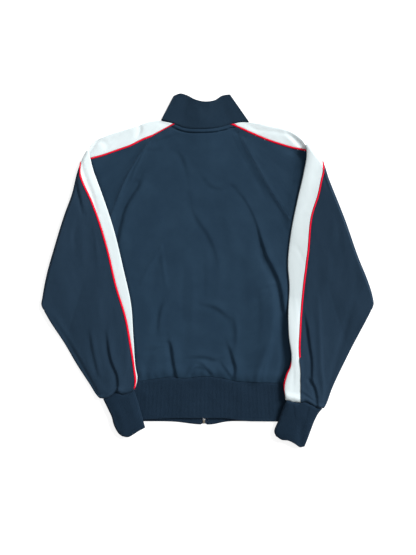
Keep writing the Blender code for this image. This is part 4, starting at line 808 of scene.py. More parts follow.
class Sleeve:
    """A flat cloth tube that leaves the armhole and turns over along its fold line.

    A station is a line across the sleeve. Along it a point is given by its reach in
    millimetres round the top edge: positive on the front layer, negative on the back.
    """

    def __init__(self, spec):
        self.spec, self.side = spec, spec["side"]
        self.known = {}
        inward = -self.side
        shoulder = offset(spline(spec["shoulder"]), EDGE * inward)
        fold = offset(spline(spec["fold"]), EDGE * inward)
        top = offset(spline(spec["top"]), -EDGE * inward)
        under = offset(spline(spec["under"]), EDGE * inward)
        self.fold = fitted(fold, (fold(0.0) + shoulder(1.0)) / 2, (fold(1.0) + under(0.0)) / 2)
        self.fold_line = self.fold(even(33))
        self.top_line = top(even(33))
        self.long = length_along(self.top_line)
        turn_start, turn_end = self.turn(0.0), self.turn(1.0)
        self.armhole, self.neck_line, self.lower = {}, {}, {}
        for layer in (-1, 1):
            armhole = self.make_armhole(layer)
            self.armhole[layer] = armhole
            self.neck_line[layer] = self.make_neck_line(layer)
            low = fitted(shoulder, armhole(0.0), turn_start, SHOULDER_HASTE)
            self.lower[layer] = (armhole, self.turn, low, spline((armhole(1.0), turn_end)))
        self.cuff = fitted(spline(spec["cuff_seam"]), top(1.0), under(1.0))
        end = offset(self.cuff, -GAP / 2 * inward)
        self.upper = (self.turn, end, fitted(top, turn_start, end(0.0), TOP_HASTE),
                      fitted(under, turn_end, end(1.0), TOP_HASTE))
        self.stations = self.make_stations()
        self.pleated = np.array([float(rise(value, *spec["pleat"])) if kind == "upper" else 0.0
                                 for kind, value in self.stations])
        self.set_piping()

    def make_armhole(self, layer):
        """Raglan seam, run on from its tip to the top of the neck and ending near the armpit."""
        spec = self.spec
        tip = spec["tip_back" if layer < 0 else "tip_front"]
        body = spec.get("armhole_front", spec["armhole"]) if layer > 0 else spec["armhole"]
        points = np.array((tip, *body), float)
        neck = np.array(spec["neck"], float)
        part = np.linalg.norm(points[0] - neck)
        whole = part + length_along(points)
        full = chain(spline((neck, points[0])), spline(points), part / whole)
        return lambda a: full(np.asarray(a, float) * (1 - ARMPIT_ROOM / whole))

    def make_neck_line(self, layer):
        """Where the stripe meets the collar, from its folded edge to the piping."""
        curve = offset(spline(NECK_BACK if layer < 0 else NECK_FRONT), -GAP)
        x = self.spec["neck_back" if layer < 0 else "neck_front"][0]
        end = curve(fraction_at(curve, x))
        return stretch(curve, np.array(self.spec["neck"], float), end)

    def turn_radius(self, a):
        edge = self.fold(a) - self.outward(a) * 4.0
        return self.lift(edge) / 2

    def outward(self, a):
        return normals(self.fold, a) * self.side

    def turn(self, a):
        """Where the flat part ends beside the fold line."""
        return self.fold(a) - self.outward(a) * (self.turn_radius(a) * self.flattened(a))[..., None]

    def flattened(self, a):
        """Width of the turned edge's roll against its height: it is pressed flat at the elbow."""
        return 1 - (1 - ELBOW_ROLL) * rise(np.asarray(a, float), ELBOW_START, 1.0)

    def lift(self, places):
        """Rise of the turned part's middle above its level on the bare surface."""
        distance, _ = distance_to(places, self.fold_line)
        held = rise(depth_inside(places, SUPPORT), -LIFT_MARGIN - LIFT_RUN, -LIFT_MARGIN)
        aside, where = distance_to(places, self.top_line)
        hover = np.interp(where, *np.transpose(self.spec["hover"]))
        hover = hover * bell(aside, HOVER_REACH)
        elbow = rise(np.linalg.norm(places - self.fold_line[-1], axis=-1), *ELBOW_REACH)
        spring = elbow * FOLD_SPRING * bell(distance, SPRING_REACH)
        return held * (REST_LIFT + hover + spring)

    def make_stations(self):
        tip = np.linalg.norm(np.subtract(self.spec["neck_back"], self.spec["tip_back"]))
        stations = [("neck", 1 - s / tip) for s in NECK_ROWS if s < tip - 3]
        stations += [("lower", b) for b in spread(0, 1, CELLS_LOWER, False, False)]
        stations += [("turn", angle) for angle in np.linspace(-90, 90, CELLS_TURN + 1)[1:-1]]
        stations += [("upper", b) for b in even(CELLS_UPPER + 1)]
        self.first = sum(kind == "neck" for kind, _ in stations)
        return stations

    def plan(self, station, side, a):
        """Place in plan at fractions across a station, from a fine table made once for it."""
        key = station, side if station[0] in ("neck", "lower") else 0, "plan"
        if key not in self.known:
            self.known[key] = self.exact_plan(station, side, even(PLAN_CELLS + 1))
        at = np.clip(np.asarray(a, float), 0, 1) * PLAN_CELLS
        low = np.minimum(at.astype(int), PLAN_CELLS - 1)
        part = (at - low)[..., None]
        return self.known[key][low] * (1 - part) + self.known[key][low + 1] * part

    def exact_plan(self, station, side, a):
        kind, value = station
        if kind == "turn":
            return self.fold(a)
        if kind == "neck":
            on_neck = self.neck_line[side](a / self.stripe_share[side])
            return (1 - value) * self.armhole[side](a) + value * on_neck
        start, end, low, high = self.lower[side] if kind == "lower" else self.upper
        across = np.concatenate([[0.0], a, [1.0]])
        return patch(start, end, low, high, across, np.array([0.0, value, 1.0]))[1, 1:-1]

    def width(self, station, side):
        if (station, side) not in self.known:
            flat = ("lower", 0.0) if station[0] == "neck" else station
            self.known[station, side] = length_along(self.plan(flat, side, even(33)))
        return self.known[station, side]

    def edges(self, station):
        """Outward directions at the top edge and the underarm edge."""
        if station in self.known:
            return self.known[station]
        kind, value = station
        flat = ("lower", 0.0) if kind == "neck" else station
        ends = self.plan(flat, -1, np.array([0.0, 0.03, 0.97, 1.0]))
        top, under = ends[0] - ends[1], ends[3] - ends[2]
        top, under = top / np.linalg.norm(top), under / np.linalg.norm(under)
        if kind in ("lower", "upper"):
            region = self.lower[-1] if kind == "lower" else self.upper
            square = float(rise(min(value, 1 - value), 0.0, SQUARE_RUN))
            turn = self.side if kind == "lower" else -self.side
            below = square
            if kind == "upper":
                below = float(rise(min(value * ELBOW_HASTE, 1 - value), 0.0, SQUARE_RUN))
            top = (1 - square) * top + square * turn * normals(region[2], value)
            under = (1 - below) * under - below * turn * normals(region[3], value)
        self.known[station] = top / np.linalg.norm(top), under / np.linalg.norm(under)
        return self.known[station]

    def surface(self, stations, reaches, depth):
        """3-D points at the given reaches of each station, depth out of the middle of the cloth."""
        reaches = np.asarray(reaches, float)
        depth = np.broadcast_to(np.asarray(depth, float), reaches.shape)
        side = np.where(reaches < 0, -1, 1)
        widths = np.array([(self.width(s, -1), self.width(s, 1)) for s in stations])
        width = np.where(side < 0, widths[:, :1], widths[:, 1:])
        flat = np.clip(np.abs(reaches) - ROUND, 0, width)
        a = flat / width
        places = np.array([np.where((row < 0)[:, None], self.plan(s, -1, b), self.plan(s, 1, b))
                           for s, row, b in zip(stations, side, a)])
        outs = np.array([self.edges(s) for s in stations])
        round_top = np.clip(np.abs(reaches) / HALF, 0, math.pi / 2)
        round_under = np.clip((np.abs(reaches) - ROUND - width) / HALF, 0, CURL_END)
        arm = HALF + depth
        places = places + (arm * np.cos(round_top) * (flat == 0))[..., None] * outs[:, :1]
        places = places + (arm * np.sin(round_under))[..., None] * outs[:, 1:]
        off = -side * arm * np.sin(round_top) * np.cos(round_under)
        kinds = np.array([kind for kind, _ in stations])
        made = np.zeros((*reaches.shape, 3))
        low, high, turning = (kinds == "lower") | (kinds == "neck"), kinds == "upper", kinds == "turn"
        if low.any():
            share = np.clip(off[low] / HALF, 0, 1)
            made[low] = lifted(places[low], MID_Z + off[low] + back_rise(places[low]) * share)
        if high.any():
            spot, over = places[high], -off[high]
            air = SLEEVE_LOFT * np.sin(math.pi * a[high]) ** 0.8
            folds = crease_relief(spot, SLEEVE_CREASES) + unevenness(spot, SLEEVE_UNEVEN)
            folds = folds * np.clip(air, 0.35, 1) + self.gathers(stations, flat)[high]
            relief = np.maximum(air + folds, SLEEVE_LOW) * np.clip(over / HALF, 0, 1)
            made[high] = lifted(spot, MID_Z + self.lift(spot) + over + relief)
        if turning.any():
            angle = np.radians([value for kind, value in stations if kind == "turn"])[:, None]
            radius = self.turn_radius(a[turning])
            over = radius - off[turning]
            wide = radius * self.flattened(a[turning])
            reach_out = (wide - off[turning]) * np.cos(angle) - wide
            spot = places[turning] + self.outward(a[turning]) * reach_out[..., None]
            made[turning] = lifted(spot, MID_Z + radius + over * np.sin(angle))
        return made

    def gathers(self, stations, across):
        """Small puckers and a soft overhang where the sleeve is drawn in to its cuff."""
        share = np.array([value if kind == "upper" else 0.0 for kind, value in stations])[:, None]
        left = (1 - share) * self.long
        wave = wavering(across, 1 / 4.6, 2.0, 1 / 17) + 0.5 * np.sin(across / 8.3 + 1)
        folds = CUFF_GATHER * wave * np.exp(-left / GATHER_REACH) * rise(left, 0, 3)
        return folds + overhang(left, *CUFF_OVERHANG)

    def crossing(self, station, side, line):
        """Reach at which a line in plan crosses a station."""
        a = np.linspace(0, 0.5, 401)
        line = line if len(line) > 1 else np.vstack([line, line + 0.01])
        distance, _ = distance_to(self.plan(station, side, a), line)
        return side * (ROUND + a[int(np.argmin(distance))] * self.width(station, side))

    def set_piping(self):
        """Reach of the front and back piping, and the stretch of each station at its slant."""
        front, back = traced(self.spec["piping_front"]), traced(self.spec["piping_back"])
        tuck = np.array(self.spec["back_tuck"], float)
        turn_front = self.crossing(("upper", 0.0), 1, front)
        fold_front = self.crossing(("turn", 0.0), 1, front[:1])
        turn_back = self.crossing(("lower", 1.0), -1, back)
        neck_back = self.crossing(("lower", 0.0), -1, back)
        neck_front = self.tip_reach()
        flat = ("lower", 0.0)
        self.stripe_share = {-1: (-neck_back - ROUND) / self.width(flat, -1),
                             1: (neck_front - ROUND) / self.width(flat, 1)}
        self.front_reach, self.back_reach = [], []
        for kind, value in self.stations:
            if kind == "neck":
                pair = neck_front, neck_back
            elif kind == "lower":
                pair = (neck_front + rise(value, 0, 1) * (fold_front - neck_front),
                        self.crossing((kind, value), -1, back))
            elif kind == "turn":
                over = 1 - math.cos(math.radians(max(value, 0)))
                pair = fold_front + over * (turn_front - fold_front), turn_back
            else:
                hidden = -np.interp(value, tuck[:, 0], tuck[:, 1])
                start = 1 - rise(value, 0, 0.3)
                pair = self.crossing((kind, value), 1, front), hidden + start * (turn_back + tuck[0, 1])
            self.front_reach.append(float(pair[0]))
            self.back_reach.append(float(pair[1]))
        self.front_reach, self.back_reach = smooth(self.front_reach), smooth(self.back_reach)
        self.front_slant = self.slant(self.front_reach)
        self.back_slant = self.slant(self.back_reach)

    def tip_reach(self):
        neck, tip = (np.array(self.spec[key], float) for key in ("neck", "tip_front"))
        return ROUND + np.linalg.norm(tip - neck)

    def slant(self, reaches):
        """How much wider a band across the stations is than square to its own run."""
        middle = self.surface(self.stations, reaches[:, None] + np.array([-1.0, 0.0, 1.0]), 0.0)
        run = np.gradient(middle[:, 1], axis=0)
        over = middle[:, 2] - middle[:, 0]
        sine = length_of(np.cross(run, over))[:, 0] / (length_of(run) * length_of(over))[:, 0]
        return 1 / np.clip(smooth(sine), 0.45, 1)

    def rolled(self, rows, starts, ends):
        """Outer depth of each point, less where the cloth bends down into a seam."""
        near = np.minimum(np.abs(rows - starts[:, None]), np.abs(rows - ends[:, None]))
        return CLOTH / 2 - seam_roll(near)

    def cloth(self, name, rows, first, finish, seams, lip=0.0):
        stations, rows = self.stations[first:], np.array(rows[first:])
        starts, ends = (np.array(edge[first:]) for edge in seams)
        if lip:
            beside = bell(rows - starts[:, None], LIP_REACH)
            lip = lip * self.pleated[first:, None] * beside
        outer = self.surface(stations, rows, self.rolled(rows, starts, ends) + lip)
        return wall(name, outer, self.surface(stations, rows, lip - CLOTH / 2), finish)

    def make_stripe(self, name, finish):
        rows, starts, ends = [], [], []
        for i in range(len(self.stations)):
            start = self.back_reach[i] + PIPING_ROOM * self.back_slant[i]
            end = self.front_reach[i] - PIPING_ROOM * self.front_slant[i]
            low = max(-ROUND, start + 4.0)
            high = max(ROUND, low + 2.0)
            rows.append(np.concatenate([spread(start, low, CELLS_STRIPE, True, False)[:-1],
                                        np.linspace(low, high, CELLS_EDGE + 1)[:-1],
                                        spread(high, end, CELLS_STRIPE, False, True)]))
            starts.append(start)
            ends.append(end)
        return self.cloth(name, rows, 0, finish, (starts, ends))

    def panel_start(self, i, side):
        """Reach at which the navy cloth begins beside the piping at station i."""
        reach, slant = ((self.front_reach[i], self.front_slant[i]) if side > 0
                        else (self.back_reach[i], self.back_slant[i]))
        over = self.pleated[i] * (PIPING + GAP + LIP_OVER) if side > 0 else 0.0
        return reach + side * PIPING_ROOM * slant - over * slant

    def panel_row(self, i, side):
        start = side * self.panel_start(i, side)
        flat_end = ROUND + self.width(self.stations[i], side)
        curl = np.linspace(0, CURL_END * HALF, CELLS_CURL + 1)[1:]
        flat = spread(start, flat_end, CELLS_SLEEVE, True, False)
        return side * np.concatenate([flat, flat_end + curl])

    def make_panel(self, name, side, finish):
        rows = [self.panel_row(i, side) for i in range(len(self.stations))]
        starts = [row[0] for row in rows]
        ends = [row[-1] for row in rows]
        return self.cloth(name, rows, self.first, finish, (starts, ends), LIP_HIGH if side > 0 else 0.0)

    def body_seam(self, side):
        """Plan points beside which a body panel runs: along the stripe, then down the armhole."""
        rows = [self.panel_row(i, side) for i in range(self.first + 1)]
        yoke = [self.surface([self.stations[i]], [rows[i][:1]], 0.0)[0, 0, :2]
                for i in range(self.first)]
        row = self.surface([self.stations[self.first]], [rows[self.first]], 0.0)[0, :, :2]
        return np.vstack([yoke, row - self.side * left_of(row, GAP)])

    def make_piping(self, name, side, finish):
        """Cord in the seam: a full round where it shows, flush where it lies underneath."""
        reaches, slants = ((self.front_reach, self.front_slant) if side > 0
                           else (self.back_reach, self.back_slant))
        shown = np.array([self.shown(i, side) for i in range(len(self.stations))])[:, None]
        if side > 0:
            shown = shown * (1 - self.pleated[:, None])
        angle = np.radians(PIPING_ROUND)
        over = reaches[:, None] + (PIPING / 2 * slants)[:, None] * np.cos(angle)
        crown = CLOTH / 2 + PIPING_PROUD * shown
        depth = np.where(np.sin(angle) > 0, crown * np.sin(angle), -CLOTH / 2)
        return tube(name, self.surface(self.stations, over, depth), finish)

    def shown(self, i, side):
        kind, value = self.stations[i]
        if side > 0:
            return {"neck": 0.0, "lower": 0.0, "turn": min((value + 90) / 90, 1.0)}.get(kind, 1.0)
        if kind != "upper":
            return {"turn": (90 - value) / 180}.get(kind, 1.0)
        return float(np.clip((self.back_reach[i] + ROUND) / ROUND, 0, 1))


def smooth(values):
    """Running mean over a few stations, with the ends kept."""
    kernel = np.array([1, 2, 3, 2, 1]) / 9
    return np.convolve(np.pad(np.asarray(values, float), 2, mode="edge"), kernel, mode="valid")


def fraction_at(curve, x):
    """Fraction along a curve, whose x always grows, at which it reaches x."""
    t = even(801)
    return float(np.interp(x, curve(t)[:, 0], t))


def stretch(curve, start, end):
    """The part of a curve between two places, from the nearest x of each, eased to meet them."""
    low, high = fraction_at(curve, start[0]), fraction_at(curve, end[0])
    return fitted(lambda t: curve(low + np.asarray(t, float) * (high - low)), start, end)


# -------------------- body panels

def resampled(points, cells):
    """The same line with evenly spaced points."""
    run = run_along(points)
    places = np.linspace(0, run[-1], cells + 1)
    return np.stack([np.interp(places, run, points[:, 0]), np.interp(places, run, points[:, 1])], -1)


class BodyEdge:
    """Edge of a body panel from neck to hem along one side: its seams, then its rounded side."""

    def __init__(self, sleeve, front):
        seam = resampled(sleeve.body_seam(1 if front else -1), CELLS_SEAM)
        side = spline((seam[-1], *sleeve.spec["side_seam"][1:]))
        self.points = np.vstack([seam, side(even(CELLS_SIDE + 1)[1:])])
        self.out = sleeve.side * left_of(self.points)
        self.curl = (np.arange(len(self.points)) >= len(seam)).astype(float)
        self.base = self.points - self.out * EDGE
        neck = offset(spline(NECK_FRONT if front else NECK_BACK), -GAP / 2)
        self.points[0] = neck(fraction_at(neck, self.points[0, 0]))
        self.base[0] = neck(fraction_at(neck, self.base[0, 0]))
        self.out[0] = (self.points[0] - self.base[0]) / EDGE

    def columns(self, layer, depth, level):
        """Points from the flat part out to the edge, one column for each step of the curl."""
        made = []
        for step in np.arange(1, CELLS_CURL + 1) / CELLS_CURL:
            angle = CURL_END * step
            arm = HALF + depth
            reach = (1 - self.curl) * EDGE * step + self.curl * arm * math.sin(angle)
            places = self.base + self.out * reach[:, None]
            flat = level(places, depth - (1 - self.curl) * SEAM_ROLL * step ** 2 * (depth > 0))
            round_z = MID_Z + layer * arm * math.cos(angle)
            made.append(lifted(places, (1 - self.curl) * flat + self.curl * round_z))
        return made


def run_of(left, right):
    """Fraction along a panel for each of its rows."""
    steps = [length_of(np.diff(edge, axis=0))[:, 0] for edge in (left, right)]
    total = np.concatenate([[0.0], np.cumsum(sum(step / step.sum() for step in steps))])
    return total / total[-1]


def back_level(places, depth):
    return MID_Z + HALF + depth + back_rise(places)


def front_level(places, depth):
    return MID_Z - HALF - depth + front_rise(places) + crease_relief(places, FRONT_CREASES)


def back_detail(places, seams):
    """Neck band and its groove, the raglan allowance's step, and gathers above the hem."""
    neck, _ = distance_to(places, traced(NECK_BACK, 41))
    detail = BAND_HIGH * rise(BAND_WIDE - neck, -0.6, 0.8)
    detail = detail - GROOVE_DEEP * bell(neck - BAND_WIDE - GROOVE_OFF, GROOVE_HALF)
    for seam in seams:
        far, along = distance_to(places, seam)
        step = rise(far, ALLOWANCE - 1.5, ALLOWANCE + 2.0)
        detail -= ALLOWANCE_STEP * step * rise(ALLOWANCE_END - far, 0, ALLOWANCE_FADE)
        pucker = wavering(along, 172, 2.4, 31)
        detail += SEAM_PUCKER * pucker * np.exp(-far / PUCKER_REACH) * rise(neck, 8, 30)
        detail += SEAM_PROUD * bell(far - STITCH_IN, SEAM_RIDGE)
    hem, along = distance_to(places, traced(HEM_SEAM, 41))
    gather = wavering(along, 104, 2.2, 23, 1.0) + 0.5 * np.sin(along * 61 + 0.7)
    detail += GATHER * gather * np.exp(-hem / GATHER_REACH) * rise(hem, 0, 3)
    detail += overhang(hem, *HEM_OVERHANG)
    return detail * rise(-sleeve_cover(places), 0, 12)


def make_back(left, right, finish):
    edges = BodyEdge(left, False), BodyEdge(right, False)
    low, high = edges[0].base, edges[1].base
    neck = stretch(offset(spline(NECK_BACK), -GAP / 2), low[0], high[0])
    hem = stretch(offset(spline(HEM_SEAM), GAP / 2), low[-1], high[-1])
    across = even(CELLS_BACK + 1)
    flat = patch(neck, hem, lambda t: low, lambda t: high, across, run_of(low, high))
    seams = [edge.points[edge.curl == 0] for edge in edges]
    detail = back_detail(flat, seams)
    roll = seam_roll(cut_places(lifted(flat, 0.0))[..., 2])
    sides = []
    for depth in (CLOTH / 2, -CLOTH / 2):
        middle = lifted(flat, back_level(flat, depth) + detail - roll * (depth > 0))
        left_columns = edges[0].columns(1, depth, back_level)[::-1]
        right_columns = edges[1].columns(1, depth, back_level)
        sides.append(np.concatenate([np.stack(left_columns, 1), middle, np.stack(right_columns, 1)], 1))
    return wall("back_cloth", sides[0], sides[1], finish)


def make_front(name, sleeve, finish):
    edge = BodyEdge(sleeve, True)
    zip_edge = ZIP_X + sleeve.side * ZIP_EDGE
    neck, hem = offset(spline(NECK_FRONT), -GAP / 2), offset(spline(HEM_SEAM), GAP / 2 - FRONT_DROP)
    top = np.array([zip_edge, neck(fraction_at(neck, zip_edge))[1]])
    bottom = np.array([zip_edge, hem(fraction_at(hem, zip_edge))[1]])
    along = run_of(edge.base, np.linspace(top, bottom, len(edge.base)))
    middle = top + along[:, None] * (bottom - top)
    across = spread(0, 1, CELLS_FRONT, False, False)
    flat = patch(stretch(neck, edge.base[0], top), stretch(hem, edge.base[-1], bottom),
                 lambda t: edge.base, lambda t: middle, across, along)
    roll = seam_roll(cut_places(lifted(flat, 0.0))[..., 2])
    sides = []
    for depth in (CLOTH / 2, -CLOTH / 2):
        grid = lifted(flat, front_level(flat, depth) + roll * (depth > 0))
        columns = edge.columns(-1, depth, front_level)[::-1]
        sides.append(np.concatenate([np.stack(columns, 1), grid], 1))
    return wall(name, sides[0], sides[1], finish)


# -------------------- rib bands

RIB_HALF = RIB_TUBE / 2
RIB_EDGE = (RIB_TUBE + RIB) / 2
RIB_SIDE = RIB / 2 - RIB_DEPTH / 2     # outer points where a band turns at its side
RIB_CELLS = 4                     # columns to one rib
BAND_CELLS = 26


def band_rows(length):
    """Fractions down a band and the share of its wall there: hidden allowance, rib, rounded fold."""
    nose = RIB / length
    steps = np.sin(np.radians([0, 30, 55, 75, 90]))
    rows = np.concatenate([[-TUCK / length, -TUCK_TURN / length, TUCK_TURN / length],
                           even(BAND_CELLS + 1)[1:-1], 1 - nose + nose * steps])
    share = np.concatenate([[-TUCK_LOW, -TUCK_LOW, 0.85], np.ones(BAND_CELLS - 1),
                            np.cos(np.arcsin(steps))])
    return list(zip(rows, share))


def ribbed(length, count):
    """Depth of the outer points across a ribbed stretch."""
    ribs = np.linspace(0, round(length / RIB_PITCH), count)
    return RIB / 2 - RIB_DEPTH * (0.5 - 0.5 * np.cos(2 * math.pi * ribs))


def rib_count(length):
    return RIB_CELLS * int(round(length / RIB_PITCH)) + 1


def band_wall(name, seam, edge, angle, out, crown, height, finish, closed=False, bow=None):
    """A doubled rib band; each column has its seam and edge places and its angle round the tube."""
    length = float(np.median(length_of(edge - seam)))

    def layer(v, depth):
        places = seam + v * (edge - seam) + out * ((RIB_HALF + depth) * np.cos(angle))[:, None]
        if bow:
            places = places + bow(v)
        seated = float(rise(v * length, -TUCK_TURN, SEAT_REACH))
        level = RIB_EDGE + (RIB_HALF + depth) * np.sin(angle) + height(places, angle, v, seated)
        return lifted(places, level)
    rows = band_rows(length)
    outer = np.array([layer(v, crown * share if share > 0 else RIB / 2 * share) for v, share in rows])
    inner = np.array([layer(v, -RIB / 2 * min(abs(share) + 0.4, 1))
                      for v, share in rows[::3] + [rows[-1]]])
    return wall(name, outer, inner, finish, closed)


def make_open_band(name, seams, edges, height, finish):
    """Collar or hem: from the zip round one side, across the back and round to the zip."""
    front_seam, back_seam = seams
    front_edge, back_edge = edges
    width = length_along(back_seam(even(60)))
    tuck = RIB_EDGE / width
    back = np.linspace(tuck, 1 - tuck, rib_count(width))
    turn = np.radians(np.linspace(-90, 90, CELLS_TURN + 1)[1:-1])
    seam, edge, angle, out, crown = [], [], [], [], []

    def add(seam_points, edge_points, angles, outs, crowns):
        seam.append(seam_points)
        edge.append(edge_points)
        angle.append(np.broadcast_to(angles, len(seam_points)))
        out.append(np.broadcast_to(outs, seam_points.shape))
        crown.append(np.broadcast_to(crowns, len(seam_points)))

    for side in (-1, 1):
        at = tuck if side < 0 else 1 - tuck
        zip_edge = ZIP_X + side * ZIP_EDGE
        start = fraction_at(front_seam, zip_edge)
        half = length_along(front_seam(np.linspace(start, at, 60)))
        cells = np.linspace(start, at, rib_count(half))
        edge_start = fraction_at(front_edge, zip_edge)
        on_edge = edge_start + (cells - start) / (at - start) * (at - edge_start)
        parts = [(front_seam(cells), front_edge(on_edge), -math.pi / 2, ribbed(half, len(cells)))]
        share = ((turn + math.pi / 2) / math.pi)[:, None]
        ends = [(1 - share) * f(at) + share * b(at)
                for f, b in ((front_seam, back_seam), (front_edge, back_edge))]
        parts.append((ends[0], ends[1], turn, RIB_SIDE))
        run = back_edge(at) - back_seam(at)
        outward = np.array([side * abs(run[1]), -side * run[0] * np.sign(run[1])])
        outward /= np.linalg.norm(outward)
        for seam_points, edge_points, angles, crowns in parts[::-side]:
            count = len(seam_points)
            add(seam_points[::-side], edge_points[::-side], np.broadcast_to(angles, count)[::-side],
                outward, np.broadcast_to(crowns, count)[::-side])
        if side < 0:
            add(back_seam(back), back_edge(back), math.pi / 2, outward, ribbed(width, len(back)))
    return band_wall(name, np.vstack(seam), np.vstack(edge), np.concatenate(angle), np.vstack(out),
                     np.concatenate(crown), height, finish)


def bend(curve, v):
    """How far a curve bows away from the straight line between its ends."""
    return curve(v) - (1 - v) * curve(0.0) - v * curve(1.0)


def make_cuff(name, sleeve, finish):
    spec, inward = sleeve.spec, -sleeve.side
    inner = offset(spline(spec["cuff_inner"]), -RIB_EDGE * inward)
    outer = offset(spline(spec["cuff_outer"]), RIB_EDGE * inward)
    whole = offset(sleeve.cuff, GAP / 2 * inward)
    line = whole(even(81))
    start, stop = (float(distance_to(corner, line)[1]) for corner in (inner(0.0), outer(0.0)))

    def seam(a):
        return whole(start + a * (stop - start))
    end = fitted(spline(spec["cuff_end"]), inner(1.0), outer(1.0))
    width = float(np.linalg.norm(seam(1.0) - seam(0.0)))
    top = even(rib_count(width))
    turn = np.radians(np.linspace(90, -90, CELLS_TURN + 1)[1:-1])
    across = np.concatenate([top, np.ones(len(turn)), top[::-1], np.zeros(len(turn))])
    angle = np.concatenate([np.full(len(top), math.pi / 2), turn,
                            np.full(len(top), -math.pi / 2), turn[::-1]])
    flat = np.full(len(turn), RIB_SIDE)
    ribs = ribbed(width, len(top))
    crown = np.concatenate([ribs, flat, ribs[::-1], flat])
    out = np.where(across[:, None] > 0.5, normals(outer, 0.5) * -inward, normals(inner, 0.5) * inward)

    def bow(v):
        if v < 0:
            return 0.0
        return (1 - across[:, None]) * bend(inner, v) + across[:, None] * bend(outer, v)

    dome = CUFF_ROUND * np.sqrt(1 - np.abs(2 * across - 1) ** 3)

    def height(places, angles, v, seated):
        up = np.clip(np.sin(angles), 0, 1)
        uneven = unevenness(places, CUFF_UNEVEN) + crease_relief(places, CUFF_CREASES)
        bulge = CUFF_LOFT + dome + CUFF_BOW * np.sin(math.pi * np.clip(v, 0, 1)) + uneven
        return sleeve.lift(places) + np.maximum(bulge, 0) * up * seated
    return band_wall(name, seam(across), end(across), angle, out, crown, height, finish, True, bow)


def collar_height(places, angle, v, seated):
    up = np.clip(np.sin(angle), 0, 1)
    waves = unevenness(places, COLLAR_UNEVEN) + crease_relief(places, COLLAR_CREASES)
    return front_rise(places) + np.maximum(COLLAR_LOFT + waves, 0) * up * seated


def hem_height(places, angle, v, seated):
    up = np.clip(np.sin(angle), 0, 1)
    waves = unevenness(places, HEM_UNEVEN) + crease_relief(places, HEM_CREASES)
    shown = rise(-sleeve_cover(places), *HEM_SHOWN)
    below, _ = distance_to(places, traced(HEM_SEAM))
    follow = np.maximum(back_rise(places) - BACK_LOFT, 0) * bell(below, HEM_FOLLOW)
    return np.maximum((HEM_LOFT + waves) * shown * seated, follow) * up


# -------------------- zip and sewing

def zip_level(ys):
    return front_rise(np.stack([np.full_like(ys, ZIP_X), ys], -1))


def make_tape(name, side, finish):
    """Woven tape with a corded edge beside the teeth, run close up to the cloth it is sewn to."""
    across, swell = np.array(TAPE_ACROSS), np.array(TAPE_SWELL)
    end = TAPE_BOTTOM - TAPE_SLANT * (across - across[0]) / (across[-1] - across[0])
    share = even(160)[:, None]
    ys = end + share * (ZIP_TOP - end)
    places = np.stack([ZIP_X + side * np.broadcast_to(across, ys.shape), ys], -1)
    level = FRONT_Z + front_rise(places)
    under, over = (lifted(places, level + way * TAPE / 2 + way * swell) for way in (-1, 1))
    return wall(name, under, over, finish)


def many(name, shape, faces, places, turns, finish):
    """One mesh of many copies of a small closed shape, each turned about Z and set in place."""
    points = np.array(shape, float)
    count = len(points)
    vertices, all_faces = [], []
    for i, (place, turn) in enumerate(zip(places, turns)):
        c, s = math.cos(turn), math.sin(turn)
        spun = points @ np.array([[c, s, 0], [-s, c, 0], [0, 0, 1]])
        vertices.append(spun + place)
        all_faces += [[v + i * count for v in face] for face in faces]
    return make_mesh(name, np.vstack(vertices), all_faces, finish)


def rounded_bar(length, wide, high, nose=0.3):
    """A small bar along X with eight sides and blunt ends, as points and faces."""
    angles = np.radians(np.arange(22.5, 360, 45))
    ring = [(math.cos(a) * wide / 2, math.sin(a) * high / 2) for a in angles]
    end = length / 2
    stations = ((-end, BLUNT), (-end + nose, 1.0), (end - nose, 1.0), (end, BLUNT))
    points = [(x, y * k, z * k) for x, k in stations for y, z in ring]
    faces = [[r * 8 + j, r * 8 + (j + 1) % 8, (r + 1) * 8 + (j + 1) % 8, (r + 1) * 8 + j]
             for r in range(3) for j in range(8)]
    faces += [list(reversed(range(8))), list(range(24, 32))]
    return points, faces


def make_teeth(finish):
    """Closed zip: teeth from both sides in turn."""
    ys = np.arange(ZIP_BOTTOM + 1, SLIDER_END - 1.0, TOOTH_PITCH)
    shape, faces = rounded_bar(TOOTH_LONG, TOOTH_PITCH * 0.82, COIL_HIGH * 0.9)
    side = np.where(np.arange(len(ys)) % 2, 1.0, -1.0)
    places = np.stack([ZIP_X + side * TOOTH_ASIDE, ys, zip_level(ys) + COIL_HIGH / 2], -1)
    return many("zip_teeth", shape, faces, places, np.zeros(len(ys)), finish)


def along_line(points, pitch):
    """Evenly spaced places on a 3-D line, with the direction of each in plan."""
    run = run_along(points)
    at = np.arange(pitch / 2, run[-1], pitch)
    behind, places, ahead = (np.stack([np.interp(at + step, run, points[:, i]) for i in range(3)], -1)
                             for step in (-0.5, 0.0, 0.5))
    turn = np.arctan2(ahead[:, 1] - behind[:, 1], ahead[:, 0] - behind[:, 0])
    return places, turn


def make_stitches(name, lines, finish):
    """Rows of thread stitches, one object for all rows of a seam."""
    shape, faces = rounded_bar(STITCH_LONG, STITCH_THICK, STITCH_THICK * 0.8, 0.25)
    placed = [along_line(line, STITCH_PITCH) for line in lines]
    places, turns = (np.concatenate([p[i] for p in placed]) for i in (0, 1))
    made = many(name, shape, faces, places, turns, finish)
    return made


# -------------------- shader groups

def new_group(name, inputs, outputs):
    """Empty shader group with named sockets; each input is a name, a kind and a value."""
    group = bpy.data.node_groups.new(name, "ShaderNodeTree")
    for label, kind, value in inputs:
        socket = group.interface.new_socket(name=label, in_out='INPUT', socket_type="NodeSocket" + kind)
        socket.default_value = value
    for label, kind in outputs:
        group.interface.new_socket(name=label, in_out='OUTPUT', socket_type="NodeSocket" + kind)
    return group, group.nodes.new("NodeGroupInput"), group.nodes.new("NodeGroupOutput")


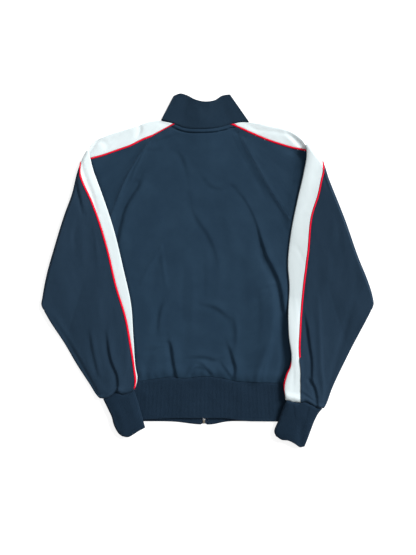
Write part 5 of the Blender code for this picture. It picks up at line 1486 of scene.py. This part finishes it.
def math_node(tree, operation, first, second=None, third=None):
    node = tree.nodes.new("ShaderNodeMath")
    node.operation = operation
    for socket, value in zip(node.inputs, (first, second, third)):
        if value is None:
            continue
        if isinstance(value, (int, float)):
            socket.default_value = value
        else:
            tree.links.new(value, socket)
    return node.outputs[0]


def map_range(tree, value, low, high):
    """0 up to low, 1 from high and straight between."""
    node = tree.nodes.new("ShaderNodeMapRange")
    tree.links.new(value, node.inputs["Value"])
    node.inputs["From Min"].default_value = low
    node.inputs["From Max"].default_value = high
    return node.outputs["Result"]


def cut_coordinates(tree):
    """Across, along and edge distance of the flat cut, in millimetres."""
    place = tree.nodes.new("ShaderNodeAttribute")
    place.attribute_name = "cut"
    split = tree.nodes.new("ShaderNodeSeparateXYZ")
    tree.links.new(place.outputs["Vector"], split.inputs[0])
    return place.outputs["Vector"], split.outputs


def noise_node(tree, vector, scale, detail=3.0, roughness=0.55):
    node = tree.nodes.new("ShaderNodeTexNoise")
    node.inputs["Detail"].default_value = detail
    node.inputs["Roughness"].default_value = roughness
    if isinstance(scale, (int, float)):
        node.inputs["Scale"].default_value = scale
    else:
        tree.links.new(scale, node.inputs["Scale"])
    if vector is not None:
        tree.links.new(vector, node.inputs["Vector"])
    return node


def knit_group(name, wale, course):
    """A knit's group, its columns counted in wales, and a wave that slants up each of them."""
    group, inputs, outputs = new_group(name, [("Wale", "Float", wale), ("Course", "Float", course)],
                                       [("Height", "Float"), ("Mask", "Float")])
    vector, (across, along, _) = cut_coordinates(group)
    column = math_node(group, 'DIVIDE', across, inputs.outputs["Wale"])
    lean = math_node(group, 'PINGPONG', column, 0.5)
    row = math_node(group, 'DIVIDE', along, inputs.outputs["Course"])
    slant = math_node(group, 'ADD', row, lean)
    loop = math_node(group, 'SINE', math_node(group, 'MULTIPLY', slant, 2 * math.pi))
    return group, outputs, vector, column, loop


def make_tricot_group():
    """Fine upright wales of warp knit, with slanting underlaps between them."""
    group, outputs, vector, column, loop = knit_group("tricot", 1.1, 0.9)
    wave = math_node(group, 'SINE', math_node(group, 'MULTIPLY', column, math.pi))
    ridge = math_node(group, 'ABSOLUTE', wave)
    height = math_node(group, 'MULTIPLY_ADD', loop, 0.3, ridge)
    fibre = noise_node(group, vector, 1.6, 2.0).outputs["Fac"]
    group.links.new(math_node(group, 'MULTIPLY_ADD', fibre, 0.5, height), outputs.inputs["Height"])
    group.links.new(ridge, outputs.inputs["Mask"])
    return group


def make_rib_group():
    """Columns of V-shaped loops along each rib."""
    group, outputs, vector, _, loop = knit_group("rib_loops", 1.5, 1.3)
    fibre = noise_node(group, vector, 1.3, 3.0).outputs["Fac"]
    group.links.new(math_node(group, 'MULTIPLY_ADD', fibre, 0.8, loop), outputs.inputs["Height"])
    group.links.new(math_node(group, 'MULTIPLY_ADD', loop, 0.5, 0.5), outputs.inputs["Mask"])
    return group


def make_worn_and_painted_light_group():
    """Colour of washed cloth: cloudy, with faint lint, with painted shade down in its seams and, where
    asked, painted light towards the left shoulder.
    """
    group, inputs, outputs = new_group(
        "worn_cloth_painted_light",
        [("Colour", "Color", (0.5, 0.5, 0.5, 1)), ("Faded", "Color", (0.6, 0.6, 0.6, 1)),
         ("Cloud", "Float", 0.4), ("Seam", "Float", 0.5), ("Stripe", "Float", 0.0),
         ("Cleaner", "Float", 0.0), ("Mask", "Float", 0.5)],
        [("Colour", "Color"), ("Roughness", "Float")])
    vector, (_, _, edge) = cut_coordinates(group)
    cloud = noise_node(group, vector, 0.016, 4.0, 0.6).outputs["Fac"]
    lint = noise_node(group, vector, 0.9, 2.0, 0.7).outputs["Fac"]
    fade = math_node(group, 'MULTIPLY', map_range(group, cloud, *CLOUD_SPAN), inputs.outputs["Cloud"])
    fade = math_node(group, 'MULTIPLY_ADD', math_node(group, 'SUBTRACT', lint, 0.5), 0.35, fade)
    mix = group.nodes.new("ShaderNodeMix")
    mix.data_type = 'RGBA'
    group.links.new(fade, mix.inputs["Factor"])
    group.links.new(inputs.outputs["Colour"], mix.inputs["A"])
    group.links.new(inputs.outputs["Faded"], mix.inputs["B"])
    # painted shade: the colour is darkened near the cut's edge, down in the seams
    gap = math_node(group, 'SUBTRACT', 1.0, map_range(group, edge, 0.0, SEAM_SHADE_REACH))
    shade = math_node(group, 'SUBTRACT', 1.0, math_node(group, 'MULTIPLY', gap, inputs.outputs["Seam"]))
    grain = math_node(group, 'MULTIPLY', math_node(group, 'SUBTRACT', inputs.outputs["Mask"], 0.6),
                      inputs.outputs["Stripe"])
    # painted light: the colour is lightened towards the left shoulder
    place = group.nodes.new("ShaderNodeTexCoord")
    toward = group.nodes.new("ShaderNodeVectorMath")
    toward.operation = 'DOT_PRODUCT'
    toward.inputs[1].default_value = PAINTED_LIGHT_WAY
    group.links.new(place.outputs["Object"], toward.inputs[0])
    painted_lighter = map_range(group, toward.outputs["Value"], *PAINTED_LIGHT_REACH)
    painted_lighter = math_node(group, 'MULTIPLY', painted_lighter, inputs.outputs["Cleaner"])
    shade = math_node(group, 'ADD', math_node(group, 'ADD', shade, grain), painted_lighter)
    tint = group.nodes.new("ShaderNodeVectorMath")
    tint.operation = 'SCALE'
    group.links.new(mix.outputs["Result"], tint.inputs[0])
    group.links.new(shade, tint.inputs["Scale"])
    group.links.new(tint.outputs[0], outputs.inputs["Colour"])
    group.links.new(math_node(group, 'MULTIPLY_ADD', fade, -0.12, 0.84), outputs.inputs["Roughness"])
    return group


def set_inputs(node, values):
    for label, value in values.items():
        node.inputs[label].default_value = value


GROUPS = {"tricot": make_tricot_group(), "rib": make_rib_group(), "worn_painted_light": make_worn_and_painted_light_group()}


def place_group(material, group, **values):
    node = material.node_tree.nodes.new("ShaderNodeGroup")
    node.node_tree = GROUPS[group]
    set_inputs(node, values)
    return node


def new_material(name):
    made = bpy.data.materials.new(name)
    made.use_nodes = True
    return made, made.node_tree, made.node_tree.nodes["Principled BSDF"]


def cloth_material(name, colour, faded, knit, loop, bump, cloud, stripe, sheen, tint, painted_light_share=0.0):
    """A knitted cloth: its knit as bump, its worn colour with painted seam shade and painted light, and
    a soft sheen.
    """
    made, tree, shader = new_material(name)
    wale, course = loop
    loops = place_group(made, knit, Wale=wale, Course=course)
    worn_painted_light = place_group(made, "worn_painted_light", Colour=(*colour, 1), Faded=(*faded, 1), Cloud=cloud,
                       Seam=SEAM_SHADE, Stripe=stripe, Cleaner=painted_light_share)
    tree.links.new(loops.outputs["Mask"], worn_painted_light.inputs["Mask"])
    tree.links.new(worn_painted_light.outputs["Colour"], shader.inputs["Base Color"])
    tree.links.new(worn_painted_light.outputs["Roughness"], shader.inputs["Roughness"])
    add_bump(tree, shader, loops.outputs["Height"], KNIT_STRENGTH, bump)
    set_inputs(shader, {"Sheen Weight": sheen, "Sheen Roughness": SHEEN_ROUGHNESS,
                        "Sheen Tint": (*tint, 1), "Specular IOR Level": CLOTH_SPECULAR})
    return made


def add_bump(tree, shader, height, strength, deep):
    """Raise the surface by a height, up to deep in millimetres."""
    bump = tree.nodes.new("ShaderNodeBump")
    set_inputs(bump, {"Strength": strength, "Distance": deep * MM})
    tree.links.new(height, bump.inputs["Height"])
    tree.links.new(bump.outputs["Normal"], shader.inputs["Normal"])


def hard_material(name, colour, roughness, metallic, scratch):
    """Zip metal or plastic with fine handling marks."""
    made, tree, shader = new_material(name)
    set_inputs(shader, {"Metallic": metallic})
    place = tree.nodes.new("ShaderNodeTexCoord")
    marks = noise_node(tree, place.outputs["Object"], scratch, 6.0, 0.7)
    tone = tree.nodes.new("ShaderNodeMix")
    tone.data_type = 'RGBA'
    tone.inputs["A"].default_value = (*(c * MARK_TONE for c in colour), 1)
    tone.inputs["B"].default_value = (*colour, 1)
    tree.links.new(marks.outputs["Fac"], tone.inputs["Factor"])
    tree.links.new(tone.outputs["Result"], shader.inputs["Base Color"])
    rough = math_node(tree, 'MULTIPLY_ADD', marks.outputs["Fac"], 0.2, roughness - 0.1)
    tree.links.new(rough, shader.inputs["Roughness"])
    add_bump(tree, shader, marks.outputs["Fac"], MARK_STRENGTH, MARK_DEEP)
    return made


# -------------------- the jacket

def support_outline():
    """Outline of what lies on the surface: body, hem and the sleeves as far as their fold lines."""
    def half(spec):
        points = [spec["neck"], *spec["shoulder"][2:-1:2], *spec["fold"], *spec["side_seam"],
                  spec["hem_side"]]
        return [tuple(map(float, p)) for p in points]
    return np.array(half(LEFT) + half(RIGHT)[::-1])


def cover_outline(spec):
    """Outline of a turned sleeve and its cuff seen from above."""
    cuff = spec["cuff_inner"] + spec["cuff_end"][1:-1] + spec["cuff_outer"][::-1]
    return np.array(spec["top"][1:] + cuff + spec["under"][:0:-1] + spec["fold"][::-1], float)


SUPPORT = support_outline()
COVERS = (cover_outline(LEFT), cover_outline(RIGHT))


def stitch_lines(sleeves):
    """Lines on the back's surface that the sewing follows."""
    lines = {}
    for sleeve, name in sleeves:
        stations = [("lower", STITCH_IN / 150.0)]
        start, end = sleeve.panel_start(sleeve.first, -1), ROUND + sleeve.width(stations[0], -1)
        reaches = -np.linspace(-start + 4, end, 90)
        on_sleeve = sleeve.surface(stations, [reaches], CLOTH / 2 + STITCH_THICK / 4)[0]
        seam = sleeve.body_seam(-1)[sleeve.first:-3]
        beside = seam - sleeve.side * left_of(seam, STITCH_IN)
        level = back_level(beside, CLOTH / 2 + STITCH_THICK / 4) + back_detail(beside, BACK_SEAMS)
        lines["raglan_stitches_" + name] = [on_sleeve, lifted(beside, level)]
    groove = offset(spline(NECK_BACK), -BAND_WIDE - GROOVE_OFF)
    low = fraction_at(groove, LEFT["neck_back"][0] + 3)
    high = fraction_at(groove, RIGHT["neck_back"][0] - 3)
    neck = groove(np.linspace(low, high, 80))
    level = back_level(neck, CLOTH / 2 + STITCH_THICK / 4) + back_detail(neck, BACK_SEAMS)
    lines["neck_stitches"] = [lifted(neck, level)]
    return lines


def set_stage():
    """White floor, soft light from all round and a stronger soft light from the upper right."""
    corners = [(x * FLOOR_HALF * MM, y * FLOOR_HALF * MM, -FLOOR_GAP * MM)
               for x, y in ((-1, -1), (1, -1), (1, 1), (-1, 1))]
    mesh = bpy.data.meshes.new("floor")
    mesh.from_pydata(corners, [], [(0, 1, 2, 3)])
    floor = bpy.data.objects.new("floor", mesh)
    bpy.context.scene.collection.objects.link(floor)
    white, _, shader = new_material("floor_white")
    set_inputs(shader, {"Base Color": (*FLOOR_GREY, 1), "Emission Color": (1, 1, 1, 1),
                        "Emission Strength": FLOOR_GLOW, "Roughness": 0.9, "Specular IOR Level": 0.0})
    mesh.materials.append(white)
    world = bpy.data.worlds.new("studio")
    bpy.context.scene.world = world
    world.use_nodes = True
    set_inputs(world.node_tree.nodes["Background"], {"Color": (1, 1, 1, 1), "Strength": SKY_STRENGTH})
    data = bpy.data.lights.new("key", 'SUN')
    data.energy = SUN_STRENGTH
    data.angle = math.radians(SUN_SPREAD)
    lamp = bpy.data.objects.new("key", data)
    lamp.location = SUN_FROM
    lamp.rotation_mode = 'QUATERNION'
    lamp.rotation_quaternion = (-Vector(SUN_FROM)).to_track_quat("-Z", "Y")
    bpy.context.scene.collection.objects.link(lamp)
    bpy.context.scene.view_settings.view_transform = 'Standard'


def set_camera():
    """Straight above, with the long side of the frame along Y."""
    data = bpy.data.cameras.new("camera")
    data.lens = LENS
    data.sensor_width = SENSOR
    camera = bpy.data.objects.new("camera", data)
    camera.location = (VIEW_X * MM, VIEW_Y * MM, VIEW_LONG * MM * LENS / SENSOR)
    bpy.context.scene.collection.objects.link(camera)
    bpy.context.scene.camera = camera


def finish_cad_nodes(metal):
    """The CAD's hard pieces keep their shape and get their finish."""
    for name in ("slider", "pull_tab", "zip_box"):
        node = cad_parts[name]
        node.data.materials.clear()
        node.data.materials.append(metal)


set_camera()
set_stage()
cloths = {name: cloth_material(name, *values) for name, values in CLOTHS.items()}
navy, red = cloths["navy_knit"], cloths["red_piping"]
plastic = hard_material("zip_plastic", NAVY_RIB_FADED, 0.45, 0.0, 900.0)
metal = hard_material("zip_metal", METAL, 0.38, 0.9, 600.0)

left, right = Sleeve(LEFT), Sleeve(RIGHT)
BACK_SEAMS = [sleeve.body_seam(-1) for sleeve in (left, right)]
made = {}
for sleeve, name in ((left, "left"), (right, "right")):
    made["stripe_" + name] = sleeve.make_stripe("stripe_cloth_" + name, cloths["white_knit"])
    made["sleeve_front_" + name] = sleeve.make_panel("sleeve_front_cloth_" + name, 1,
                                                     cloths["sleeve_knit"])
    made["sleeve_back_" + name] = sleeve.make_panel("sleeve_back_cloth_" + name, -1, navy)
    made["piping_front_" + name] = sleeve.make_piping("piping_front_cord_" + name, 1, red)
    made["piping_back_" + name] = sleeve.make_piping("piping_back_cord_" + name, -1, red)
    made["front_" + name] = make_front("front_cloth_" + name, sleeve, navy)
    made["cuff_" + name] = make_cuff("cuff_cloth_" + name, sleeve, cloths["navy_rib"])
    made["zip_tape_" + name] = make_tape("zip_tape_cloth_" + name, sleeve.side, cloths["zip_tape"])
made["back_panel"] = make_back(left, right, navy)
made["collar"] = make_open_band(
    "collar_cloth", (offset(spline(NECK_FRONT), GAP / 2), offset(spline(NECK_BACK), GAP / 2)),
    (spline(COLLAR_FRONT_TOP), spline(COLLAR_TOP)), collar_height, cloths["collar_rib"])
hem_seams = [offset(spline(HEM_SEAM), -GAP / 2 - drop) for drop in (FRONT_DROP, 0.0)]
made["hem_rib"] = make_open_band(
    "hem_cloth", hem_seams, (spline(HEM_FRONT), spline(HEM_BACK)), hem_height, cloths["navy_rib"])
made["zip_coil"] = make_teeth(plastic)
for node, piece in made.items():
    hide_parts(node)
for name, lines in stitch_lines(((left, "left"), (right, "right"))).items():
    make_stitches(name, lines, cloths["navy_thread"])
finish_cad_nodes(metal)
